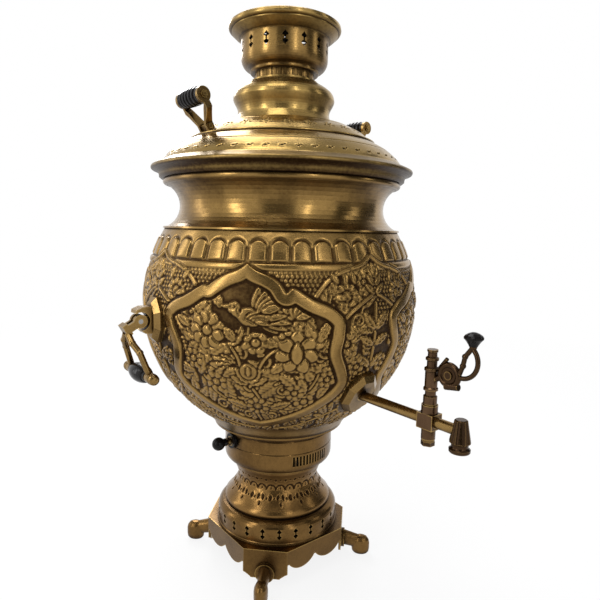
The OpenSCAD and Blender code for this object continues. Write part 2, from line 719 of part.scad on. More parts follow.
module lid_dome() {
    z = lid_top_z;
    path = concat([[step_r, z], [step_r, z + 1.6], [step_r - 2.5, z + 2.4]],
        smooth([[step_r - 5, z + 4], [dome_waist_r, z + dome_h * 0.24],
            [dome_waist_r + 0.4, z + dome_h * 0.38], [dome_r - 1, z + dome_h * 0.53],
            [dome_r, z + dome_h * 0.62], [dome_r - 3, z + dome_h * 0.77],
            [dome_top_r + 4, z + dome_h * 0.93], [dome_top_r, z + dome_h * 0.96]], 3),
        [[dome_top_r, crown_z - EPS]]);
    color(BRASS) {
        spun(path);
        ring(dome_in_r, dome_top_r, crown_z - sheet, sheet);
        ring(flat_in_r, step_r - 0.5, z, 1);
    }
}

// Solid of revolution that fills the lid out to a gap beyond its upper slope
module lid_solid(gap) {
    rotate_extrude($fn = 96) polygon(concat([[0, mouth_z]],
        [for (p = concat(lid_low_path, lid_top_path)) [p[0] + gap, p[1] + gap]],
        [[0, lid_top_z + gap]]));
}
// Lid handles: the local frame has X outward, Y along the grip, Z up
lid_base_x = ridge_r - 5;
lid_base_z = ridge_z + 4.2;
lid_grip = [lid_grip_x, 0, ridge_z + lid_grip_up];
lid_foot = [lid_base_x, 0, lid_base_z];
lid_lean = atan2(lid_grip_x - lid_base_x, lid_grip_up - 4.2);
lid_slope = atan2(top_h - ridge_h, ridge_r - top_r);
rivet_r = 1.2;
rivet_up = 3.6;
lid_turn = 2.5;
module lid_bases() {
    color(BRASS) for (s = [LEFT, RIGHT]) rotate([0, 0, s + lid_turn]) difference() {
        translate(lid_foot) {
            rotate([0, lid_slope, 0]) translate([0, 0, -4]) cylinder(r = 4.9, h = 5);
            rotate([0, lid_lean, 0]) translate([-2.4, -5, -3]) cube([4.8, 10, 9]);
        }
        lid_solid(seat_gap);
        translate(lid_foot) rotate([0, lid_lean, 0]) y_cyl([0, -6, rivet_up], rivet_r, 12, 24);
    }
}
// One flat arm on the local frame's +Y side, rising from the base to the grip
module lid_arm() {
    rise = norm(lid_grip - lid_foot);
    eye_y = lid_grip_len / 2;
    color(BRASS) rotate([0, lid_lean, 0]) {
        difference() {
            union() {
                translate([-4.2, 5.1, -4]) cube([8.4, 2.4, 11]);
                hull() {
                    translate([0, 6.3, 6.8]) cube([8.4, 2.4, 0.4], center = true);
                    translate([0, eye_y - 2.5, rise - 14]) cube([6.4, 2.4, 4], center = true);
                }
                hull() {
                    translate([0, eye_y - 2.5, rise - 14]) cube([6.4, 2.4, 4], center = true);
                    translate([0, eye_y + 1.4, rise - 9.8]) cube([6.4, 2.4, 4], center = true);
                }
                translate([-3.2, eye_y + 0.2, rise - 11]) cube([6.4, 2.4, 10]);
                y_cyl([0, eye_y, rise], 7, 2.8);
            }
            y_cyl([0, eye_y - 1, rise], lid_bolt_r + 0.05, 5);
            y_cyl([0, 0, rivet_up], rivet_r + 0.05, 12, 24);
        }
    }
}
module lid_arms(s) {
    color(BRASS) rotate([0, 0, s + lid_turn]) difference() {
        translate(lid_foot) {
            lid_arm();
            mirror([0, 1, 0]) lid_arm();
        }
        lid_solid(seat_gap);
    }
}
module lid_grip_barrel(s) {
    half = lid_grip_len / 2 - 0.1;
    r = lid_grip_r;
    rings = concat([[lid_bolt_r, -half], [r * 0.84, -half]],
        [for (i = [0 : 6]) let (y = -half + 1.5 + (2 * half - 3) * i / 6)
            each [[r * (1 - 0.14 * pow((i - 3) / 3, 2)), y - 1.2],
                  [r * (1 - 0.14 * pow((i - 3) / 3, 2)), y + 1.2],
                  [r * 0.82, y + 1.8]]],
        [[r * 0.82, half], [lid_bolt_r, half]]);
    color(BLACK) rotate([0, 0, s + lid_turn]) translate(lid_grip) rotate([-90, 0, 0]) turned(rings);
}
module lid_grip_bolts() {
    half = lid_grip_len / 2 + 2.8;
    color(BRASS) for (s = [LEFT, RIGHT]) rotate([0, 0, s + lid_turn]) translate(lid_grip) {
        y_cyl([0, -half, 0], lid_bolt_r, 2 * half);
        for (m = [0, 1]) mirror([0, m, 0]) {
            y_cyl([0, half, 0], 3.6, 1.4, 6);
            y_cyl([0, half + 1.4 - EPS, 0], 2, 1);
        }
        translate(lid_foot - lid_grip) rotate([0, lid_lean, 0]) {
            y_cyl([0, -7.5, rivet_up], rivet_r, 15, 24);
            for (m = [0, 1]) mirror([0, m, 0]) y_cyl([0, 7.5, rivet_up], rivet_r * 1.9, 1, 24);
        }
    }
}

// ---------- crown ----------
module crown_cup() {
    path = concat([[crown_lip_r - 0.6, cup_z], [crown_lip_r, cup_z + 0.8], [crown_lip_r, cup_z + 2.6],
        [crown_lip_r + 1, cup_z + 3.4]],
        [for (i = [1 : 6]) let (a = 15 + 75 * i / 6)
            [crown_lip_r + 1 + (crown_r - crown_lip_r - 1) * sin(a),
             cup_z + 3.4 + (cup_h - 0.4) * (1 - cos(a))]],
        [[crown_r, band_z + 0.5], [crown_r, rim_z]]);
    color(BRASS) difference() {
        union() {
            spun(path);
            ring(dome_in_r, crown_neck_r, crown_z, crown_neck_h + sheet);
            ring(dome_in_r, crown_lip_r - 0.6, cup_z, sheet);
        }
        for (i = [0 : crown_flutes - 1]) rotate([0, 0, 360 * i / crown_flutes])
            translate([crown_neck_r + 0.5, 0, crown_z - 1])
                cylinder(r = 1.3, h = crown_neck_h + 0.4, $fn = 24);
        piercings(crown_cuts, crown_r, band_z + 1.5, band_h - 4, 5.8, 180 / crown_cuts);
    }
}
// Plate across the crown, under the teapot; two rings of holes let the hot gas through
plate_thick = 1;
module crown_plate() {
    r = crown_r - sheet - seat_gap;
    color(BRASS) difference() {
        translate([0, 0, rim_z - plate_thick]) cylinder(r = r, h = plate_thick);
        for (a = [0 : 45 : 315]) rotate([0, 0, a]) translate([r * 0.42, 0, rim_z - plate_thick - 1])
            cylinder(r = crown_hole_r, h = plate_thick + 2, $fn = 32);
        for (a = [15 : 30 : 345]) rotate([0, 0, a]) translate([r * 0.74, 0, rim_z - plate_thick - 1])
            cylinder(r = crown_hole_r * 0.7, h = plate_thick + 2, $fn = 32);
    }
}
module crown_rim() {
    path = concat([[crown_r, rim_z], [crown_r + 0.8, rim_z + 0.8]],
        smooth([[crown_r + 2.4, rim_z + 1.4], [crown_r + 6, rim_z + 3.6],
            [crown_rim_r - 3, rim_z + crown_rim_h * 0.5]], 3),
        [[crown_rim_r - 3, rim_z + crown_rim_h * 0.58]],
        arc(crown_rim_r - 2.6, top_z - 3.2, 2.6, -75, 0, 4),
        [[crown_rim_r - 0.4, top_z - 1], [crown_rim_r - 2, top_z]]);
    color(BRASS) difference() {
        union() {
            spun(path);
            ring(crown_rim_r - 5.5, crown_rim_r - 1.8, top_z - 1.5, 1.5);
        }
    }
}

// ---------- side handles: the local frame has X outward, Y along the grip ----------
wall_x = ellipse_at(handle_z);
plate_x = wall_x + flange_t;
pivot = [wall_x + pivot_out, 0, handle_z];
tongue_w = 5;
ear_w = 3.2;
ear_gap = 0.2;
ear_r = 6.2;
block_y = tongue_w + 2 * (ear_w + ear_gap) + 1;

module octagon(w, h, inset = 0) {
    x = w / 2 - inset;
    y = h / 2 - inset;
    polygon([[x, y * 0.4], [x * 0.4, y], [-x * 0.4, y], [-x, y * 0.4],
        [-x, -y * 0.4], [-x * 0.4, -y], [x * 0.4, -y], [x, -y * 0.4]]);
}
// Octagonal plate with a bevelled face, lying in X and Y with its face up
module bevelled_plate(w, h, t, back) {
    translate([0, 0, -back]) linear_extrude(back + t * 0.35) octagon(w, h);
    hull() {
        translate([0, 0, t * 0.35 - EPS]) linear_extrude(EPS) octagon(w, h);
        translate([0, 0, t - EPS]) linear_extrude(EPS) octagon(w, h, t * 0.75);
    }
}
module handle_bracket(s) {
    cut_r = ear_r + 2.3;
    color(BRASS) rotate([0, 0, s]) difference() {
        union() {
            translate([wall_x, 0, handle_z]) rotate([90, 0, 90])
                bevelled_plate(handle_plate_w, handle_plate_h, flange_t, 4);
            difference() {
                translate([plate_x - 1, block_y / 2, handle_z]) rotate([90, 0, 0])
                    linear_extrude(block_y) polygon([[0, -12], [pivot_out - flange_t - 3, -11.5],
                        [pivot_out - flange_t + 1, -8], [pivot_out - flange_t + 5.5, 7.9],
                        [pivot_out - flange_t + 5, 10.6], [pivot_out - flange_t - 1, 13], [0, 13]]);
                y_cyl([pivot[0], -block_y, handle_z], cut_r, 2 * block_y);
            }
            y_cyl([pivot[0], -tongue_w / 2, handle_z], ear_r - 1, tongue_w);
            translate([plate_x - 1, -tongue_w / 2, handle_z - 4])
                cube([pivot_out - flange_t + 1, tongue_w, 8]);
        }
        bulb_solid(seat_gap);
        y_cyl([pivot[0], -tongue_w, handle_z], pin_r, 2 * tongue_w);
        for (dz = [-1, 1]) x_cyl([wall_x - 6, 0, handle_z + dz * bracket_screw_z], 1.8, 11);
    }
}
module bracket_screws() {
    for (s = [LEFT, RIGHT]) color(STEEL) rotate([0, 0, s]) for (dz = [-1, 1]) {
        z = handle_z + dz * bracket_screw_z;
        in_x = ellipse_at(z) - sheet - 0.75;
        x_cyl([in_x - 2.4, 0, z], 3.8, 2.4);
        x_cyl([in_x - EPS, 0, z], 1.8, 6.5);
    }
}
module handle_pins() {
    half = tongue_w / 2 + ear_gap + ear_w;
    color(STEEL) for (s = [LEFT, RIGHT]) rotate([0, 0, s])
        y_cyl([pivot[0], -half, handle_z], pin_r, 2 * half);
}
bail_foot = [pivot[0] - 1, 0, handle_z - bail_drop];
yoke = [pivot[0] + 12, 0, handle_z - 7];
eye_t = 2 * arm_r + 0.6;
module bail(s) {
    eye_y = bail_span / 2;
    y0 = tongue_w / 2 + ear_gap;
    yoke_y = y0 + ear_w;
    color(BRASS) rotate([0, 0, s]) difference() {
        union() {
            for (m = [0, 1]) mirror([0, m, 0]) {
                y_cyl([pivot[0], y0, handle_z], ear_r, ear_w);
                translate([pivot[0], y0, handle_z]) rotate([0, 30, 0])
                    translate([0, 0.05, -3.6]) cube([14, ear_w - 0.1, 7.2]);
                bar([yoke[0] - 1, yoke_y - 3.2, yoke[2] - 3.5], [yoke[0] - 2, eye_y - 8, yoke[2] - 11], arm_r);
                ball([yoke[0] - 2, eye_y - 8, yoke[2] - 11], arm_r + 0.35);
                bar([yoke[0] - 2, eye_y - 8, yoke[2] - 11], [yoke[0] - 6, eye_y - 1, yoke[2] - 19], arm_r);
                ball([yoke[0] - 6, eye_y - 1, yoke[2] - 19], arm_r + 0.35);
                bar([yoke[0] - 6, eye_y - 1, yoke[2] - 19], bail_foot + [0, eye_y + eye_t / 2, 1.5], arm_r);
                y_cyl(bail_foot + [0, eye_y, 0], 4.8, eye_t);
            }
            translate([yoke[0], 0, yoke[2]]) rotate([0, 30, 0])
                cube([5, 2 * yoke_y, 11], center = true);
        }
        y_cyl([pivot[0], -yoke_y - 1, handle_z], pin_r + run_gap, 2 * yoke_y + 2);
        y_cyl([pivot[0], -y0, handle_z], ear_r + 0.6, 2 * y0);
        y_cyl(bail_foot + [0, -eye_y - 8, 0], grip_rod_r, bail_span + 16);
    }
}
module grip(s) {
    half = bail_span / 2 - 0.1;
    r = grip_r;
    outline = concat([[grip_rod_r, -half], [r * 0.6, -half], [r * 0.62, -half + 3]],
        [for (i = [0 : 10]) let (t = -1 + 2 * i / 10) [r * (1 - 0.26 * t * t), t * (half - 4)]],
        [[r * 0.62, half - 3], [r * 0.6, half], [grip_rod_r, half]]);
    color(BLACK) rotate([0, 0, s]) translate(bail_foot) rotate([-90, 0, 0]) turned(outline);
}
module grip_rod(s) {
    half = bail_span / 2 + eye_t;
    color(BRASS) rotate([0, 0, s]) translate(bail_foot) {
        y_cyl([0, -half, 0], grip_rod_r, 2 * half);
        for (m = [0, 1]) mirror([0, m, 0]) translate([0, half, 0]) rotate([-90, 0, 0])
            turned([[0, 0], [3.6, 0], [5.1, 1.6], [5.1, 3.2], [3.9, 4.2], [5, 5.2], [4.6, 7.4],
                [2.8, 9], [0, 9.4]]);
    }
}

// ---------- tap ----------
tap_dip = wall_dip(pipe_z);
tap_wall = ellipse_at(pipe_z);
module tap_flange() {
    color(BRASS) difference() {
        translate([0, -tap_wall, pipe_z]) rotate([90 + tap_dip, 0, 0]) translate([0, 2.5, 0])
            bevelled_plate(flange_w, flange_h, flange_t, 5);
        bulb_solid(seat_gap);
        y_cyl([0, -tap_wall - 30, pipe_z], pipe_r + 0.05, 60);
    }
}
seal_r = 11;
seal_in = ellipse_at(pipe_z - seal_r) - sheet - 3;
module tap_seal() {
    color(RUBBER) difference() {
        intersection() {
            y_cyl([0, -tap_wall - 5, pipe_z], seal_r, tap_wall + 5 - seal_in);
            bulb_solid(-sheet * 1.22 - seat_gap);
        }
        y_cyl([0, -tap_wall - 10, pipe_z], pipe_r + 0.05, 60);
    }
}
module tap_backnut() {
    color(BRASS) translate([0, -seal_in, pipe_z]) rotate([-90, 0, 0]) hex_nut(pipe_r, 5);
}
block_near = plug_y - block_len / 2;
block_far = plug_y + block_len / 2;
spout_bore_r = water_r + 1;
// The pipe stops short of the spout's bore
pipe_end = spout_bore_r + 0.5;
module tap_pipe() {
    y_in = seal_in - 8;
    color(BRASS) difference() {
        union() {
            y_cyl([0, -block_near - 2.5, pipe_z], pipe_r, block_near + 2.5 - y_in);
            y_cyl([0, -spout_y + pipe_end, pipe_z], pipe_r, spout_y - pipe_end - block_far + 2.5);
        }
        y_cyl([0, -spout_y, pipe_z], water_r, spout_y);
    }
}
block_top = pipe_z + block_w / 2;
collar_top = block_top + 7;
boss_len = 9;
washer_z = pipe_z - block_w / 2 - boss_len;
module tap_body() {
    color(DARK_BRASS) difference() {
        union() {
            translate([0, -plug_y, pipe_z]) cube([block_w, block_len, block_w], center = true);
            translate([0, -plug_y, block_top - EPS]) cylinder(r = tower_r + 1.6, h = 7);
            translate([0, -plug_y, washer_z]) cylinder(r = tower_r + 0.7, h = boss_len + 1);
        }
        translate([0, -plug_y, pipe_z - 20]) cylinder(r = plug_r + run_gap, h = 60);
        y_cyl([0, -block_far - 1, pipe_z], water_r, block_len + 2);
        y_cyl([0, -block_near - 2.5, pipe_z], pipe_r, 5);
        y_cyl([0, -block_far - 2.5, pipe_z], pipe_r, 5);
    }
}
module tap_spout() {
    top = pipe_z + 9.7;
    low = pipe_z - 9;
    color(DARK_BRASS) translate([0, -spout_y, 0]) difference() {
        turned([[0, low - 7.3], [spout_r - 0.4, low - 7.3], [spout_r + 0.1, low - 6.5],
            [spout_r + 0.1, low - 4.6], [spout_r - 1.2, low - 3.6], [spout_r - 1.6, low - 2.8],
            [spout_r - 1.6, low - 0.6], [spout_r, low + 0.6], [spout_r, low + 1.6],
            [5.2, top - 0.8], [4.2, top], [0, top]]);
        for (i = [0 : spout_flutes - 1]) rotate([0, 0, 360 * (i + 0.5) / spout_flutes])
            bar([spout_r + 1, 0, low + 0.5], [6.1, 0, top + 1], 1.75);
        translate([0, 0, low - 10]) cylinder(r = spout_bore_r, h = pipe_z - low + 10);
        y_cyl([0, -1, pipe_z], water_r, 20);
        y_cyl([0, pipe_end, pipe_z], pipe_r, 20);
    }
}
tower_low = collar_top + 0.3;
module tap_plug() {
    h = tower_h;
    r = tower_r;
    z = tower_low;
    color(DARK_BRASS) translate([0, -plug_y, 0]) difference() {
        turned([[0, washer_z - 6.2], [2.4, washer_z - 6.2], [2.4, washer_z - 0.1], [plug_r, washer_z - 0.1],
            [plug_r, z], [r + 0.5, z], [r + 0.5, z + h * 0.15], [r - 0.7, z + h * 0.17],
            [r - 0.7, z + h * 0.25], [r + 0.8, z + h * 0.26], [r + 0.8, z + h * 0.3],
            [r, z + h * 0.32], [r, z + h * 0.6], [r + 0.8, z + h * 0.62], [r + 0.8, z + h * 0.66],
            [r - 1, z + h * 0.69], [r - 1, z + h * 0.79], [r + 0.2, z + h * 0.81],
            [r + 0.2, z + h * 0.85], [r - 1.3, z + h * 0.87], [r - 1.4, z + h * 0.95],
            [r - 0.7, z + h * 0.96], [r - 0.8, z + h], [0, z + h]]);
        x_cyl([-10, 0, pipe_z], water_r - 0.3, 20);
    }
}
// The key stands in the plane of the pipe: s is the distance outward from the plug
function key_at(s, z) = [0, -plug_y - s, z];
key_z = tower_low + tower_h * 0.61;
ring_s = tower_r + key_r + 1.1;
knob_base = key_at(key_reach, key_z + 26);
module tap_key() {
    arc_s = key_reach - 9;
    arc_z = key_z + 14;
    arc_r = 13.8;
    stem = [[ring_s + 9, key_z + 3], [ring_s + 11.6, key_z + 10], [ring_s + 13, key_z + 17.5]];
    color(DARK_BRASS) difference() {
        union() {
            translate(key_at(ring_s, key_z)) rotate([0, 90, 0])
                rotate_extrude($fn = 64) translate([key_r - 2.4, 0]) circle(r = 2.4, $fn = 24);
            x_cyl(key_at(ring_s, key_z) - [1.3, 0, 0], key_r - 2.2, 2.6);
            x_cyl(key_at(ring_s, key_z) - [2.4, 0, 0], 3.4, 4.8);
            bar(key_at(tower_r - 1, key_z - 6), key_at(ring_s - 7.5, key_z - 3), 2.5);
            bar(key_at(tower_r + 1.8, key_z + 3), key_at(tower_r + 9, key_z + 12.6), 1.6);
            bar(key_at(ring_s - 3, key_z - 9.5), key_at(ring_s + 9, key_z - 7.5), 2.7);
            for (i = [0, 1]) {
                bar(key_at(stem[i][0], stem[i][1]), key_at(stem[i + 1][0], stem[i + 1][1]), 1.9);
                ball(key_at(stem[i + 1][0], stem[i + 1][1]), 2.4);
            }
            bar(key_at(stem[2][0], stem[2][1]), knob_base, 1.9);
            translate(key_at(arc_s, arc_z)) rotate([0, 90, 0]) rotate([0, 0, -140])
                rotate_extrude(angle = 146, $fn = 96) translate([arc_r, 0]) circle(r = 1.9, $fn = 24);
            ball(knob_base, 2.8);
        }
        translate([0, -plug_y, key_z - 12]) cylinder(r = tower_r + 0.02, h = 13);
    }
}
module key_knob() {
    r = key_knob_r;
    color(BLACK) translate(knob_base) difference() {
        turned([[0, 0.5], [3.2, 0.5], [3.7, 1.6], [r * 0.74, 4.2], [r, 6.4], [r, 7.6], [r * 0.86, 9],
            [r * 0.55, 10.4], [r * 0.25, 11.2], [0, 11.4]]);
        sphere(r = 2.8, $fn = 32);
    }
}
module plug_washer() {
    color(BRASS) translate([0, -plug_y, washer_z - 1.6]) difference() {
        cylinder(r = tower_r + 0.4, h = 1.5);
        translate([0, 0, -1]) cylinder(r = 2.4, h = 4);
    }
}
module plug_nut() {
    color(BRASS) translate([0, -plug_y, washer_z - 5.4]) difference() {
        cylinder(r = tower_r + 0.6, h = 3.8, $fn = 6);
        translate([0, 0, -1]) cylinder(r = 2.4, h = 6);
    }
}

foot_plate();
foot(FEET[0]);  // foot_front_left
foot(FEET[1]);  // foot_front_right
foot(FEET[2]);  // foot_rear_left
foot(FEET[3]);  // foot_rear_right
foot_screws();
gallery_ring();
bell_skirt();
tie_rods();
tie_nuts();
burner_housing();
housing_floor();
burner_body();
burner_cap();
gas_injector();
injector_pipe();
inlet_pipe();
gas_valve();
knob_bush();
hose_nozzle();
nozzle_nut();
valve_spindle();
gas_knob();
tank_collar();
tank_bulb();
tank_bottom();
flue_tube();
tank_neck();
handle_bracket(LEFT);  // handle_bracket_left
handle_bracket(RIGHT);  // handle_bracket_right
bracket_screws();
handle_pins();
bail(LEFT);  // bail_left
grip(LEFT);  // grip_left
grip_rod(LEFT);  // grip_rod_left
bail(RIGHT);  // bail_right
grip(RIGHT);  // grip_right
grip_rod(RIGHT);  // grip_rod_right
lid_shell();
lid_dome();
lid_bases();
lid_arms(LEFT);  // lid_arms_left
lid_arms(RIGHT);  // lid_arms_right
lid_grip_barrel(LEFT);  // lid_grip_left
lid_grip_barrel(RIGHT);  // lid_grip_right
lid_grip_bolts();
crown_cup();
crown_plate();
crown_rim();
tap_flange();
tap_seal();
tap_backnut();
tap_pipe();
tap_body();
tap_spout();
tap_plug();
tap_key();
key_knob();
plug_washer();
plug_nut();
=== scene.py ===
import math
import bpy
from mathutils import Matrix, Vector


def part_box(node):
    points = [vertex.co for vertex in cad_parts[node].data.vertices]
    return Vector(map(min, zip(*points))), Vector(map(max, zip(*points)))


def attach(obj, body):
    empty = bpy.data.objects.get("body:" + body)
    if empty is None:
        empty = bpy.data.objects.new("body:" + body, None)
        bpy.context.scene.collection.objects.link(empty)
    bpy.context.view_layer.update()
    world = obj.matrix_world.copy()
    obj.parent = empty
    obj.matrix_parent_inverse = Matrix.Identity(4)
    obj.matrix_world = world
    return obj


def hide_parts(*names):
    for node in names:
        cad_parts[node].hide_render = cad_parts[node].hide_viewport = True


bl_info = {
    "name": "Samovar dressing",
    "version": (1, 0, 0),
    "blender": (4, 5, 0),
    "location": "View3D > Sidebar > Samovar",
    "description": "Embossed tank, engraved lid and bell, finishes and stage for the samovar",
    "category": "Object",
}

import bpy
import numpy as np
from mathutils import Matrix, Vector

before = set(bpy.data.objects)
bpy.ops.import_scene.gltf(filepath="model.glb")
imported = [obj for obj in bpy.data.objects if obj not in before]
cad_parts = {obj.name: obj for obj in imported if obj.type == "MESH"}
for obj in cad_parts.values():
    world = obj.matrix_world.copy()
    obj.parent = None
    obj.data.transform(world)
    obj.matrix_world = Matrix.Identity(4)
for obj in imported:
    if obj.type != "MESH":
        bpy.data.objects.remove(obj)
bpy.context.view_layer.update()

MM = 0.001
TAU = 2 * math.pi

# ---------- the bulb, in millimetres: top and radius from the frame, then the curve of its wall ----------
def high_mm(node):
    """The highest corner of a node's box."""
    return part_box(node)[1] / MM


BULB_TOP = high_mm("tank_bulb").z
BULB_R = high_mm("tank_bulb").x
GIRTH_Z = 286.0  # height of the widest circle
BELOW, ABOVE = 140.0, 148.0  # half heights of the two ellipses that the wall follows
CONE_TOP = 170.0  # height where the short cone at the foot meets the wall
CONE_R = 80.06  # radius there
CONE_SLOPE = 9.06 / 13  # growth of the radius for each millimetre up


def wall_radius(z):
    """Outer radius of the bulb at height z: an ellipse over a short straight cone."""
    if z < CONE_TOP:
        return CONE_R + (z - CONE_TOP) * CONE_SLOPE
    return BULB_R * math.sqrt(max(1 - ((z - GIRTH_Z) / (BELOW if z < GIRTH_Z else ABOVE)) ** 2, 0))


# ---------- settings in the sidebar ----------
class SamovarFinish(bpy.types.PropertyGroup):
    brass: bpy.props.FloatVectorProperty(
        name="Brass", description="Colour of the polished brass", subtype="COLOR",
        size=3, min=0, max=1, default=(0.275, 0.17, 0.058))
    # the patina colour is also the colour of the painted shade
    patina: bpy.props.FloatVectorProperty(
        name="Patina", description="Colour of the brown patina in the hollows", subtype="COLOR",
        size=3, min=0, max=1, default=(0.032, 0.016, 0.0065))
    bronze: bpy.props.FloatVectorProperty(
        name="Bronze", description="Colour of the darker cast pieces of the tap", subtype="COLOR",
        size=3, min=0, max=1, default=(0.105, 0.06, 0.032))
    grip: bpy.props.FloatVectorProperty(
        name="Grips", description="Colour of the black grips and knobs", subtype="COLOR",
        size=3, min=0, max=1, default=(0.006, 0.005, 0.005))


class SamovarSizes(bpy.types.PropertyGroup):
    relief: bpy.props.FloatProperty(
        name="Relief height", description="Height of the tank's embossing",
        default=0.0018, min=0.0002, max=0.003, unit="LENGTH", subtype="DISTANCE")
    grain: bpy.props.FloatProperty(
        name="Grain", description="Distance between two points of the embossed wall",
        default=0.00065, min=0.0004, max=0.004, unit="LENGTH", subtype="DISTANCE")
    tongues: bpy.props.IntProperty(
        name="Tongues", description="Number of tongues in the frieze under the shoulder",
        default=44, min=16, max=64)
    lid_drops: bpy.props.IntProperty(
        name="Lid drops", description="Number of punched drops round the lid's lower slope",
        default=54, min=36, max=144)
    bell_groups: bpy.props.IntProperty(
        name="Bell groups", description="Number of repeats of the punched row on the bell",
        default=14, min=8, max=20)


# ---------- small helpers ----------
def smoothstep(low, high, value):
    t = np.clip((value - low) / (high - low), 0, 1)
    return t * t * (3 - 2 * t)


def curve_through(points, steps):
    """A smooth line through the points (Catmull-Rom), as an array."""
    p = np.array([points[0], *points, points[-1]], float)
    out = []
    for a, b, c, d in zip(p[:-3], p[1:-2], p[2:-1], p[3:]):
        for i in range(steps):
            t = i / steps
            out.append(0.5 * (2 * b + (c - a) * t + (2 * a - 5 * b + 4 * c - d) * t * t
                              + (3 * b - a - 3 * c + d) * t ** 3))
    out.append(p[-1])
    return np.array(out)


def link(obj):
    bpy.context.scene.collection.objects.link(obj)
    return obj


def mesh_object(name, verts, faces):
    """A mesh object from vertices in metres and faces all of one size (an index array)."""
    verts = np.asarray(verts, np.float32)
    faces = np.asarray(faces, np.int32)
    mesh = bpy.data.meshes.new(name)
    mesh.vertices.add(len(verts))
    mesh.vertices.foreach_set("co", verts.ravel())
    mesh.loops.add(faces.size)
    mesh.loops.foreach_set("vertex_index", faces.ravel())
    mesh.polygons.add(len(faces))
    mesh.polygons.foreach_set("loop_start", np.arange(0, faces.size, faces.shape[1], dtype=np.int32))
    mesh.update(calc_edges=True)
    mesh.polygons.foreach_set("use_smooth", np.ones(len(faces), bool))
    mesh.validate()
    return link(bpy.data.objects.new(name, mesh))


# ---------- relief: heights over a patch of wall laid flat ----------
FLOOR = -0.5  # the sunk ground of the embossing
MOAT = 0.8  # width of the sunk line round each raised form


